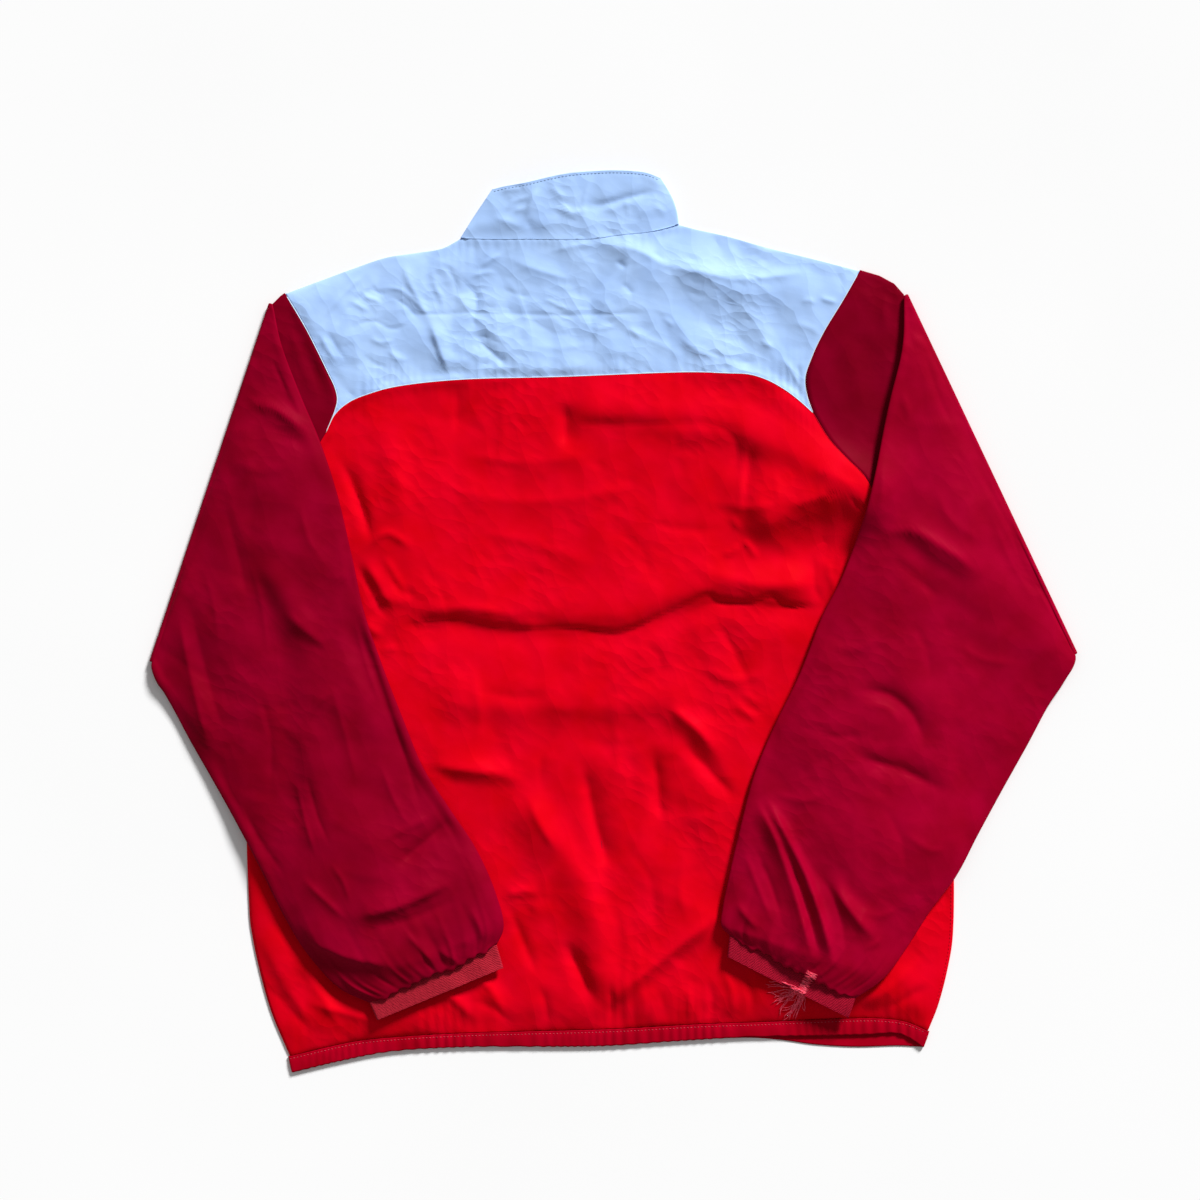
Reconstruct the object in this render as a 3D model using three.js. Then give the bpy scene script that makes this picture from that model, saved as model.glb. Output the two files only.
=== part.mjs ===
// Windbreaker jacket lying face down, with both sleeves folded over its back.
// Millimetres, +Z up. The origin is on the surface under the middle of the jacket,
// +Y points from the hem to the collar and +X to the right as seen from above.

import * as THREE from 'three';

// Walls and gaps
const CLOTH = 1.0;
const COLLAR_WALL = 1.3;
const BAND_WALL = 1.2;
const CUFF_WALL = 1.5;
const SEAM_GAP = 0.3;
const PLY_GAP = 0.5;

// Heights of the layers: fronts on the surface, the back on them, the sleeves on the back
const FRONT_MID = CLOTH / 2;
const BACK_EDGE = FRONT_MID + CLOTH + PLY_GAP;
const SLEEVE_PLY = 2.1;
const SLEEVE_EDGE = FRONT_MID + SLEEVE_PLY;
const TUCK = 1.2;
const FOLD_PIVOT = SLEEVE_EDGE + TUCK;
const SLEEVE_LIFT = FOLD_PIVOT + TUCK - BACK_EDGE;
const FLOOR_SLEEVE = 0.9;

// Air that holds the cloth up, and how far in from an edge it fills out
const BACK_LOFT = 4.5;
const BACK_REACH = 34;
const FOLD_REACH = 13;
const HEM_REACH = 8;
const TURN_REACH = 9;
const SLEEVE_SAG = 26;
const DRAPE_RADIUS = 11;
const DRAPE_PLACES = 8;

// Least share of the back's air that is left in its troughs
const LEAST_LOFT = 0.25;

// A fold fades out over this share of its run, and over no more than this length
const FADE_SHARE = 0.35;
const FADE_LENGTH = 34;

// A sleeve's two layers open over its first stations past the fold, and its middle is crowned.
// Folds and gathers reach their full height at a share of the crown.
const SLEEVE_OPEN = 1.5;
const OPEN_STATIONS = 4;
const CROWN_POWER = 0.7;
const FOLD_CROWN = 1 / 3;
const GATHER_CROWN = 1 / 6;
const FOLD_AIR = 2;

// Numbers of steps along the seams
const ARM_UPPER_STEPS = 8;
const ARM_LOWER_STEPS = 6;
const YOKE_STEPS = 27;
const FOLD_TURNS = 5;

// Rows of the back's lower panel: each stretch ends at a share of its height
const BACK_STRETCHES = [
  { end: 0.28, rows: 6 },
  { end: 0.44, rows: 7 },
  { end: 0.8, rows: 8 },
  { end: 1, rows: 6 },
];

// Hem and cuff
const HEM_GATHERS = 60;
const HEM_WAVE = 0.55;
const HEM_BACK_MID = 2.75;
const HEM_PUFF = 2.2;
const HEM_PUFF_WAVE = 0.75;
const HEM_PUFF_REACH = 22;
const HEM_SIDE_SHARE = 0.12;
const HEM_ROUND = 0.5;
const CUFF_OPEN = 0.9;
const CUFF_LIFT = 0.4;

// Collar
const COLLAR_LOFT = 3.4;
const COLLAR_SIDE = 14;
const COLLAR_EDGE = COLLAR_WALL / 2 + COLLAR_WALL + 0.9;
const COLLAR_ROWS = 6;
const COLLAR_COLUMNS = 22;
const COLLAR_FRONT_RISE = 0.5;
const NECK_DROP = 14;

// Closed front zip: width of its tapes, and its slider at the top
const ZIP_WIDTH = 8;
const ZIP_THICK = 1.0;
const SLIDER = { width: 7.4, narrow: 0.7, nose: 0.6, noseLength: 3, length: 11, thick: 2.6, below: 16 };

// Limits of the wall maker: shortest run that has a direction, least tilt of an upright wall's
// normal, and sharpest corner that is mitred in full
const LEAST_RUN = 0.6;
const LEAST_TILT = 0.6;
const LEAST_MITRE = 0.012;

// Seams and edges, from the left or from the top
const SEAMS = {
  shoulderLeft: [[-288, 287], [-253, 300], [-226, 310], [-199, 319], [-172, 323], [-150, 327], [-133, 336]],
  neck: [[-133, 336], [-105, 335], [-74, 335], [-22, 335], [9, 339], [28, 341], [43, 344], [56, 348]],
  shoulderRight: [[56, 348], [71, 344], [102, 337], [133, 328], [174, 318], [216, 307]],
  armUpperLeft: [[-288, 287], [-269, 255], [-250, 217], [-244, 204], [-242, 194], [-244, 185], [-252, 165]],
  armLowerLeft: [[-252, 165], [-268, 138], [-280, 115], [-293, 86], [-306, 58], [-318, 30]],
  armUpperRight: [[216, 307], [201, 281], [184, 253], [174, 232], [168, 213], [170, 196], [175, 182]],
  armLowerRight: [
    [175, 182], [189, 159], [205, 141], [218, 128], [227, 113], [243, 84], [256, 58], [268, 30],
  ],
  yoke: [
    [-252, 165], [-244, 181], [-231, 192], [-211, 200], [-192, 205], [-141, 211], [-43, 214],
    [69, 218], [100, 217], [119, 216], [135, 211], [151, 202], [164, 192], [175, 182],
  ],
  sideLeft: [[-318, 30], [-322, -69], [-322, -186], [-320, -243], [-318, -270], [-302, -338], [-284, -382]],
  sideRight: [[268, 30], [284, -69], [297, -174], [298, -275], [294, -302], [285, -337], [276, -360]],
  hemTop: [
    [-284, -382], [-226, -369], [-187, -365], [-134, -362], [3, -358], [75, -354], [133, -352],
    [206, -349], [235, -349], [257, -352], [276, -360],
  ],
  hemBottom: [
    [-281, -396], [-239, -386], [-197, -378], [-134, -374], [-9, -373], [51, -369], [119, -365],
    [177, -364], [221, -363], [250, -362], [263, -368], [271, -374],
  ],
  frontHemBottom: [
    [-281, -396], [-239, -386], [-197, -378], [-134, -374], [-9, -373], [51, -369], [119, -366],
    [148, -368], [177, -372], [213, -374], [250, -373], [271, -374],
  ],
  collarLeft: [[-133, 336], [-121, 355], [-111, 370], [-105, 379]],
  collarTop: [[-105, 379], [-96, 381], [-78, 384], [-42, 392], [-7, 395], [17, 394.5], [29, 393], [40, 389]],
  collarRight: [[56, 348], [55, 356], [53, 364], [50, 372], [45, 381], [40, 389]],
};

// The zip runs down the middle of the front, turned a little with the whole jacket
const ZIP_LINE = { top: [-37, 392], bottom: [-7, -372] };

// Sleeve sections from the armhole to the fold: a is the overarm edge, b the underarm edge,
// and bow is how much of the armhole's curve the section keeps
const SLEEVE_LEFT = {
  toFold: [
    { a: [-288, 287], b: [-318, 30], bow: 1 },
    { a: [-292, 284], b: [-348, 11], bow: 0.66 },
    { a: [-296, 280], b: [-376, -10], bow: 0.33 },
  ],
  fold: { a: [-303, 278], b: [-407, -34] },
  // After the fold: steps is the number of rings from the row above, air is how far the two
  // layers part in the middle, and gather is the height of the zig-zag of gathered cloth
  toCuff: [
    { a: [-292, 242], b: [-404, -39], steps: 1, air: 3, gather: 0 },
    { a: [-275, 196], b: [-403, -43], steps: 1, air: 4, gather: 0 },
    { a: [-259, 158], b: [-401, -48], steps: 1, air: 5, gather: 0 },
    { a: [-244, 113], b: [-398, -54], steps: 1, air: 6, gather: 0 },
    { a: [-231, 58], b: [-393, -61], steps: 1, air: 6, gather: 0 },
    { a: [-220, 8], b: [-385, -75], steps: 1, air: 6, gather: 0 },
    { a: [-204, -39], b: [-369, -105], steps: 1, air: 6, gather: 0 },
    { a: [-185, -88], b: [-350, -138], steps: 2, air: 6, gather: 0 },
    { a: [-168, -129], b: [-329, -175], steps: 1, air: 6, gather: 0 },
    { a: [-147, -162], b: [-308, -214], steps: 1, air: 7, gather: 0 },
    { a: [-122, -200], b: [-287, -256], steps: 2, air: 8, gather: 0 },
    { a: [-105, -238], b: [-266, -290], steps: 2, air: 9, gather: 0.5 },
    { a: [-98, -268], b: [-239, -319], steps: 2, air: 9, gather: 1.2 },
    { a: [-104, -283], b: [-212, -332], steps: 2, air: 1.5, gather: 0.6 },
  ],
  cuff: { a: [-98, -304], b: [-205, -348] },
};

const SLEEVE_RIGHT = {
  toFold: [
    { a: [216, 307], b: [268, 30], bow: 1 },
    { a: [233, 302], b: [309, 8], bow: 0.7 },
    { a: [246, 295], b: [359, -9], bow: 0.33 },
  ],
  fold: { a: [259, 286], b: [407, -27] },
  toCuff: [
    { a: [254, 241], b: [404, -32], steps: 1, air: 3, gather: 0 },
    { a: [242, 189], b: [403, -36], steps: 1, air: 4, gather: 0 },
    { a: [231, 135], b: [400, -42], steps: 1, air: 5, gather: 0 },
    { a: [220, 90], b: [396, -48], steps: 1, air: 6, gather: 0 },
    { a: [203, 41], b: [390, -58], steps: 1, air: 6, gather: 0 },
    { a: [184, 3], b: [380, -73], steps: 1, air: 6, gather: 0 },
    { a: [164, -48], b: [363, -105], steps: 1, air: 6, gather: 0 },
    { a: [142, -93], b: [340, -146], steps: 2, air: 6, gather: 0 },
    { a: [124, -137], b: [318, -186], steps: 1, air: 6, gather: 0 },
    { a: [112, -183], b: [298, -223], steps: 2, air: 7, gather: 0 },
    { a: [103, -222], b: [276, -252], steps: 1, air: 8, gather: 0.6 },
    { a: [97, -251], b: [255, -284], steps: 2, air: 9, gather: 1.0 },
    { a: [96, -266], b: [233, -312], steps: 2, air: 9, gather: 1.3 },
    { a: [103, -274], b: [210, -328], steps: 2, air: 1.5, gather: 0.6 },
  ],
  cuff: { a: [101, -294], b: [204, -346] },
};

// Folds of the cloth. Each runs along its path and fades out at both ends. high is its height,
// negative for a trough; left and right are its half widths on either side of the path.
const BACK_FOLDS = [
  { path: [[-47, 186], [23, 178], [112, 167], [163, 145], [212, 115]], high: 6, left: 22, right: 14 },
  { path: [[108, 74], [147, 96], [203, 113], [246, 94]], high: 13, left: 34, right: 18 },
  { path: [[118, 52], [165, 58], [216, 72]], high: -3.5, left: 15, right: 15 },
  {
    path: [[-187, 8], [-143, 15], [-95, 9], [-47, 8], [10, 6], [48, 22], [92, 34], [137, 31], [186, 29]],
    high: 2.8, left: 22, right: 9,
  },
  {
    path: [
      [-190, -11], [-142, -3], [-97, -12], [-36, -12], [8, -14], [43, 0], [84, 15], [138, 12], [187, 8],
    ],
    high: -3.2, left: 5, right: 14,
  },
  { path: [[-165, -69], [-82, -74], [6, -73], [82, -65]], high: 4, left: 24, right: 14 },
  { path: [[-234, 146], [-224, 110], [-210, 66]], high: -2.5, left: 6, right: 6 },
  { path: [[118, 158], [116, 115], [112, 79]], high: -2.5, left: 9, right: 7 },
  { path: [[-42, 195], [-42, 145]], high: -2.5, left: 10, right: 7 },
  { path: [[35, -104], [38, -148], [43, -190]], high: -2.5, left: 8, right: 8 },
  { path: [[-27, -115], [-15, -181], [-1, -232]], high: -3, left: 9, right: 7 },
  { path: [[-80, -140], [-64, -178], [-29, -227], [-14, -270], [-8, -340]], high: 6, left: 14, right: 20 },
  { path: [[-45, -275], [-32, -301], [-17, -345]], high: -3.5, left: 8, right: 8 },
  { path: [[58, -95], [86, -132], [109, -168]], high: -2.5, left: 8, right: 10 },
  { path: [[40, -70], [76, -100], [102, -124]], high: 3, left: 10, right: 10 },
  { path: [[-12, -342], [45, -295], [100, -252]], high: 4.5, left: 16, right: 7 },
  { path: [[-165, -125], [-111, -135], [-72, -137]], high: 3, left: 14, right: 7 },
  { path: [[-222, 58], [-180, 5]], high: 2.5, left: 7, right: 7 },
  { path: [[-314, -262], [-280, -316], [-226, -352]], high: 3.2, left: 12, right: 22 },
  { path: [[-194, 172], [-191, 80]], high: 2, left: 12, right: 12 },
  {
    path: [[-20, 326], [20, 323], [47, 311], [93, 301], [133, 299], [184, 305]],
    high: 4, left: 10, right: 24,
  },
  { path: [[-184, 318], [-172, 286], [-159, 262], [-150, 237], [-140, 206]], high: 1.6, left: 10, right: 6 },
  { path: [[-128, 312], [-120, 286], [-121, 250], [-92, 216]], high: -1.4, left: 8, right: 7 },
  { path: [[20, 274], [76, 246], [126, 222]], high: 1.5, left: 14, right: 12 },
  { path: [[-262, 256], [-235, 288], [-208, 314]], high: -2, left: 8, right: 8 },
];

const COLLAR_FOLDS = [
  { path: [[-44, 361], [-5, 365], [16, 372], [46, 380]], high: -0.9, left: 5, right: 5 },
  { path: [[-61, 388], [-72, 368], [-78, 350]], high: 1.1, left: 6, right: 5 },
];

const SLEEVE_FOLDS_LEFT = [
  { path: [[-322, 194], [-292, 182], [-260, 161]], high: 2.5, left: 9, right: 7 },
  { path: [[-329, 82], [-308, 18], [-287, -38], [-283, -113], [-276, -190]], high: -3, left: 16, right: 14 },
  { path: [[-312, 60], [-274, 1], [-250, -22]], high: 4, left: 13, right: 12 },
  { path: [[-231, 18], [-209, -60], [-182, -130]], high: -2, left: 10, right: 10 },
  { path: [[-235, -261], [-183, -247], [-139, -220]], high: 4, left: 13, right: 7 },
  { path: [[-196, -220], [-166, -194], [-138, -170]], high: -2.5, left: 8, right: 9 },
  { path: [[-383, 18], [-369, -52], [-350, -127]], high: 2.5, left: 10, right: 10 },
  { path: [[-280, -258], [-235, -290], [-180, -300]], high: 4, left: 14, right: 9 },
];

const SLEEVE_FOLDS_RIGHT = [
  { path: [[227, 76], [257, 79], [328, 35]], high: 3.5, left: 13, right: 9 },
  { path: [[203, -58], [240, -66], [261, -82], [275, -118]], high: -2.5, left: 10, right: 10 },
  { path: [[200, -114], [251, -129], [298, -152]], high: -2.5, left: 9, right: 9 },
  { path: [[313, 140], [338, 71], [376, 12]], high: -2, left: 15, right: 15 },
  { path: [[122, -153], [141, -190], [157, -234], [167, -270], [174, -298]], high: 3.4, left: 5, right: 9 },
  { path: [[131, -150], [150, -186], [168, -222], [182, -262], [192, -303]], high: 4, left: 5, right: 7 },
  { path: [[186, -214], [200, -240], [217, -262], [233, -282]], high: 3.6, left: 6, right: 9 },
];

// Finish of each piece
const FINISH = {
  red: { color: 0xe01018, roughness: 0.55, metalness: 0 },
  white: { color: 0xc4dcf8, roughness: 0.6, metalness: 0 },
  crimson: { color: 0x8e0418, roughness: 0.55, metalness: 0 },
  rib: { color: 0xa03038, roughness: 0.85, metalness: 0 },
  band: { color: 0xb00a1c, roughness: 0.7, metalness: 0 },
  tape: { color: 0x9c0a1a, roughness: 0.7, metalness: 0 },
  slider: { color: 0x8a8d92, roughness: 0.35, metalness: 0.9 },
};

// Small helpers
const mix = (from, to, t) => from + (to - from) * t;
const mixPoint = (p, q, t) => [mix(p[0], q[0], t), mix(p[1], q[1], t)];
const difference = (p, q) => [q[0] - p[0], q[1] - p[1]];
const smooth = (t) => {
  const s = Math.min(Math.max(t, 0), 1);
  return s * s * (3 - 2 * s);
};
const steps = (count) => Array.from({ length: count + 1 }, (_, i) => i / count);

// A smooth seam through its points, sampled by its length
function seam(points) {
  const places = points.map(([x, y]) => new THREE.Vector3(x, y, 0));
  const curve = new THREE.CatmullRomCurve3(places, false, 'centripetal');
  curve.arcLengthDivisions = 400;
  return (t) => {
    const p = curve.getPointAt(Math.min(Math.max(t, 0), 1));
    return [p.x, p.y];
  };
}

const LINE = Object.fromEntries(Object.entries(SEAMS).map(([name, points]) => [name, seam(points)]));

// The armhole from the shoulder tip to the armpit, in the steps that all its pieces share
function armholePoints(upper, lower) {
  const top = steps(ARM_UPPER_STEPS).map(upper);
  const rest = steps(ARM_LOWER_STEPS).slice(1).map(lower);
  return [...top, ...rest];
}

const ARMHOLE_LEFT = armholePoints(LINE.armUpperLeft, LINE.armLowerLeft);
const ARMHOLE_RIGHT = armholePoints(LINE.armUpperRight, LINE.armLowerRight);

// The turned sleeve's outermost layer stands past its pivot, so the pivot lies inside the edge
function pivotLine(fold, outwardSign) {
  const dx = fold.b[0] - fold.a[0];
  const dy = fold.b[1] - fold.a[1];
  const size = Math.hypot(dx, dy);
  const outward = [outwardSign * -dy / size, outwardSign * dx / size];
  const shift = (p) => [p[0] - outward[0] * FOLD_PIVOT, p[1] - outward[1] * FOLD_PIVOT];
  return { a: shift(fold.a), b: shift(fold.b), outward };
}

const PIVOT_LEFT = pivotLine(SLEEVE_LEFT.fold, -1);
const PIVOT_RIGHT = pivotLine(SLEEVE_RIGHT.fold, 1);

// Outline of what lies under the turned sleeves: the body and the sleeves up to their folds
const LAID_OUTLINE = [
  ...steps(8).map(LINE.shoulderLeft),
  ...steps(4).slice(1).map(LINE.collarLeft),
  ...steps(8).slice(1).map(LINE.collarTop),
  ...steps(5).slice(1).map((t) => LINE.collarRight(1 - t)),
  ...steps(8).slice(1).map(LINE.shoulderRight),
  ...SLEEVE_RIGHT.toFold.slice(1).map((row) => row.a),
  PIVOT_RIGHT.a,
  PIVOT_RIGHT.b,
  ...SLEEVE_RIGHT.toFold.map((row) => row.b).reverse(),
  ...steps(12).slice(1).map(LINE.sideRight),
  ...steps(14).map((t) => LINE.hemTop(1 - t)).slice(1),
  ...steps(12).map((t) => LINE.sideLeft(1 - t)).slice(1),
  ...SLEEVE_LEFT.toFold.slice(1).map((row) => row.b),
  PIVOT_LEFT.b,
  PIVOT_LEFT.a,
  ...SLEEVE_LEFT.toFold.slice(1).map((row) => row.a).reverse(),
];

// Distance from the outline, positive inside
function inset(x, y) {
  let nearest = Infinity;
  let inside = false;
  for (let i = 0, j = LAID_OUTLINE.length - 1; i < LAID_OUTLINE.length; j = i, i += 1) {
    const [ax, ay] = LAID_OUTLINE[j];
    const [bx, by] = LAID_OUTLINE[i];
    const ex = bx - ax;
    const ey = by - ay;
    const t = Math.min(Math.max(((x - ax) * ex + (y - ay) * ey) / (ex * ex + ey * ey || 1), 0), 1);
    nearest = Math.min(nearest, Math.hypot(x - ax - ex * t, y - ay - ey * t));
    if ((ay > y) !== (by > y) && x < (ex * (y - ay)) / ey + ax) inside = !inside;
  }
  return inside ? nearest : -nearest;
}

// Height of one fold at a place
function foldHeight(x, y, { path, high, left, right }) {
  let best = { distance: Infinity, run: 0, side: 1 };
  let run = 0;
  for (let i = 1; i < path.length; i += 1) {
    const [ax, ay] = path[i - 1];
    const ex = path[i][0] - ax;
    const ey = path[i][1] - ay;
    const size = Math.hypot(ex, ey);
    const t = Math.min(Math.max(((x - ax) * ex + (y - ay) * ey) / (size * size), 0), 1);
    const dx = x - ax - ex * t;
    const dy = y - ay - ey * t;
    const distance = Math.hypot(dx, dy);
    if (distance < best.distance) best = { distance, run: run + size * t, side: ex * dy - ey * dx };
    run += size;
  }
  const width = best.side > 0 ? left : right;
  const fade = Math.min(run * FADE_SHARE, FADE_LENGTH);
  const ends = smooth(best.run / fade) * smooth((run - best.run) / fade);
  return high * ends * Math.exp(-((best.distance / width) ** 2));
}

const foldSum = (x, y, folds) => folds.reduce((sum, fold) => sum + foldHeight(x, y, fold), 0);

// Middle of the back's cloth, which also carries the sleeves up to their folds
function backMid(x, y) {
  const d = Math.max(inset(x, y), 0);
  const loft = BACK_LOFT * (1 - Math.exp(-d / BACK_REACH));
  const relief = foldSum(x, y, BACK_FOLDS) * (1 - Math.exp(-d / FOLD_REACH));
  return BACK_EDGE + Math.max(loft + relief, LEAST_LOFT * loft);
}

// Height of the hem's seam line in the picture plane, at a place across
function hemY(x) {
  const line = SEAMS.hemTop;
  const k = Math.max(line.findIndex((p) => p[0] >= x), 1);
  const [ax, ay] = line[k - 1];
  const [bx, by] = line[k];
  return mix(ay, by, Math.min(Math.max((x - ax) / (bx - ax), 0), 1));
}

// Cloth that stands up above the elastic hem
function hemPuff(x, y) {
  const from = (y - hemY(x)) / HEM_PUFF_REACH;
  return HEM_PUFF * Math.exp(-((from - 1) ** 2)) * (1 - Math.exp(-Math.max(inset(x, y), 0) / HEM_REACH));
}

// What a sleeve rests on: the back, or past its edge the drop to the surface
function support(x, y) {
  const d = inset(x, y);
  if (d >= 0) return backMid(x, y) + (1 + HEM_PUFF_WAVE) * hemPuff(x, y);
  const drop = SLEEVE_LIFT - FLOOR_SLEEVE;
  return (BACK_EDGE + drop) * Math.exp(d / SLEEVE_SAG) - drop;
}

// Middle of a turned sleeve's lower layer: draped over the highest places round it
function sleeveLow(x, y, pivot) {
  let top = support(x, y);
  for (let i = 0; i < DRAPE_PLACES; i += 1) {
    const angle = (2 * Math.PI * i) / DRAPE_PLACES;
    top = Math.max(top, support(x + DRAPE_RADIUS * Math.cos(angle), y + DRAPE_RADIUS * Math.sin(angle)));
  }
  const away = (pivot.a[0] - x) * pivot.outward[0] + (pivot.a[1] - y) * pivot.outward[1];
  const free = 1 - Math.exp(-Math.max(away, 0) / TURN_REACH);
  return mix(BACK_EDGE, top, free) + SLEEVE_LIFT;
}

// Mesh of a wall around a middle surface. rows is a grid of points; every row is one station.
// closedRing joins each row's ends and upright measures the wall along Z. startGap and endGap
// draw the first and last rows back from the seam that they end on, squareEnd cuts the last square.
function wall(rows, options) {
  const { thickness, closedRing = false, upright = false } = options;
  const { startGap = 0, endGap = 0, squareEnd = false } = options;
  const count = rows.length;
  const width = rows[0].length;
  const middle = rows.map((row) => row.map((p) => p.clone()));
  const at = (i, j) => middle[i][closedRing ? (j + width) % width : j];
  const spans = closedRing ? width : width - 1;

  const normals = middle.map((row) => row.map(() => new THREE.Vector3()));
  const addFace = (corners) => {
    const points = corners.map(([i, j]) => at(i, j));
    const face = points[1].clone().sub(points[0]).cross(points[2].clone().sub(points[0])).normalize();
    corners.forEach(([i, j], k) => {
      const before = points[(k + 2) % 3].clone().sub(points[k]);
      const after = points[(k + 1) % 3].clone().sub(points[k]);
      normals[i][closedRing ? j % width : j].addScaledVector(face, before.angleTo(after));
    });
  };
  for (let i = 0; i + 1 < count; i += 1) {
    for (let j = 0; j < spans; j += 1) {
      addFace([[i, j], [i, j + 1], [i + 1, j + 1]]);
      addFace([[i, j], [i + 1, j + 1], [i + 1, j]]);
    }
  }
  normals.forEach((row) => row.forEach((n) => n.normalize()));

  // End rows: the wall's end face stands square to the seam
  const square = (i, towards, gap) => {
    let across = new THREE.Vector3();
    for (let j = 0; j < width; j += 1) {
      const before = closedRing || j > 0 ? at(i, j - 1) : at(i, j);
      const after = closedRing || j < width - 1 ? at(i, j + 1) : at(i, j);
      const run = after.clone().sub(before).setZ(0);
      if (run.length() > LEAST_RUN) {
        across = new THREE.Vector3(-run.y, run.x, 0).normalize();
        if (across.dot(towards(j)) < 0) across.negate();
      }
      const n = normals[i][j];
      n.addScaledVector(across, -n.dot(across)).normalize();
      middle[i][j] = rows[i][j].clone().addScaledVector(across, gap);
    }
  };
  const inward = (from, to) => (j) => rows[to][j].clone().sub(rows[from][j]);
  if (startGap > 0) square(0, inward(0, 1), startGap);
  if (endGap > 0 || squareEnd) square(count - 1, inward(count - 1, count - 2), endGap);

  const side = (sign) => middle.map((row, i) => row.map((p, j) => {
    const n = normals[i][j];
    if (!upright) return p.clone().addScaledVector(n, (sign * thickness) / 2);
    const lean = 1 / Math.max(Math.abs(n.z), LEAST_TILT);
    return p.clone().setZ(p.z + (sign * Math.sign(n.z) * thickness * lean) / 2);
  }));
  const layers = [side(1), side(-1)];
  const positions = layers.flat(2).flatMap((p) => [p.x, p.y, p.z]);
  const id = (layer, i, j) => layer * count * width + i * width + (closedRing ? j % width : j);
  const index = [];
  const quad = (a, b, c, d) => index.push(a, b, c, a, c, d);
  for (let i = 0; i + 1 < count; i += 1) {
    for (let j = 0; j < spans; j += 1) {
      quad(id(0, i, j), id(0, i, j + 1), id(0, i + 1, j + 1), id(0, i + 1, j));
      quad(id(1, i, j), id(1, i + 1, j), id(1, i + 1, j + 1), id(1, i, j + 1));
    }
  }
  for (let j = 0; j < spans; j += 1) {
    quad(id(0, 0, j), id(1, 0, j), id(1, 0, j + 1), id(0, 0, j + 1));
    quad(id(0, count - 1, j), id(0, count - 1, j + 1), id(1, count - 1, j + 1), id(1, count - 1, j));
  }
  if (!closedRing) {
    for (let i = 0; i + 1 < count; i += 1) {
      quad(id(0, i, 0), id(0, i + 1, 0), id(1, i + 1, 0), id(1, i, 0));
      quad(id(0, i, width - 1), id(1, i, width - 1), id(1, i + 1, width - 1), id(0, i + 1, width - 1));
    }
  }
  return closedGeometry(positions, index);
}

// Geometry with its faces turned outward
function closedGeometry(positions, index) {
  let volume = 0;
  const corner = (k) => new THREE.Vector3().fromArray(positions, 3 * index[k]);
  for (let k = 0; k < index.length; k += 3) {
    volume += corner(k).dot(corner(k + 1).cross(corner(k + 2)));
  }
  if (volume < 0) {
    for (let k = 0; k < index.length; k += 3) [index[k + 1], index[k + 2]] = [index[k + 2], index[k + 1]];
  }
  const geometry = new THREE.BufferGeometry();
  geometry.setAttribute('position', new THREE.Float32BufferAttribute(positions, 3));
  geometry.setIndex(index);
  geometry.computeVertexNormals();
  return geometry;
}

// Draws a closed outline in by a distance, with its corners mitred
function drawIn(loop, distance) {
  const area = loop.reduce((sum, p, i) => {
    const q = loop[(i + 1) % loop.length];
    return sum + p[0] * q[1] - q[0] * p[1];
  }, 0);
  const turn = Math.sign(area);
  const normal = (p, q) => {
    const size = Math.hypot(q[0] - p[0], q[1] - p[1]) || 1;
    return [(-turn * (q[1] - p[1])) / size, (turn * (q[0] - p[0])) / size];
  };
  return loop.map((p, i) => {
    const before = normal(loop[(i + loop.length - 1) % loop.length], p);
    const after = normal(p, loop[(i + 1) % loop.length]);
    const share = distance / Math.max(1 + before[0] * after[0] + before[1] * after[1], LEAST_MITRE);
    return [p[0] + (before[0] + after[0]) * share, p[1] + (before[1] + after[1]) * share];
  });
}

// A panel between four seams, top and bottom by columns and left and right by rows
function patch(top, bottom, left, right, down = steps(left.length - 1)) {
  const last = left.length - 1;
  const end = top.length - 1;
  const rows = left.map((leftPoint, i) => top.map((topPoint, j) => {
    const u = j / end;
    const v = down[i];
    return [0, 1].map((axis) => {
      const ruled = mix(topPoint[axis], bottom[j][axis], v) + mix(leftPoint[axis], right[i][axis], u);
      const corners = mix(
        mix(top[0][axis], top[end][axis], u),
        mix(bottom[0][axis], bottom[end][axis], u),
        v,
      );
      return ruled - corners;
    });
  }));
  const ring = [];
  for (let j = 0; j <= end; j += 1) ring.push([0, j]);
  for (let i = 1; i <= last; i += 1) ring.push([i, end]);
  for (let j = end - 1; j >= 0; j -= 1) ring.push([last, j]);
  for (let i = last - 1; i > 0; i -= 1) ring.push([i, 0]);
  const drawn = drawIn(ring.map(([i, j]) => rows[i][j]), SEAM_GAP / 2);
  ring.forEach(([i, j], k) => {
    rows[i][j] = drawn[k];
  });
  return rows;
}

const clothOver = (rows, height) => rows.map((row, i) => row.map(([x, y], j) => (
  new THREE.Vector3(x, y, height(x, y, i, j)))));

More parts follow.
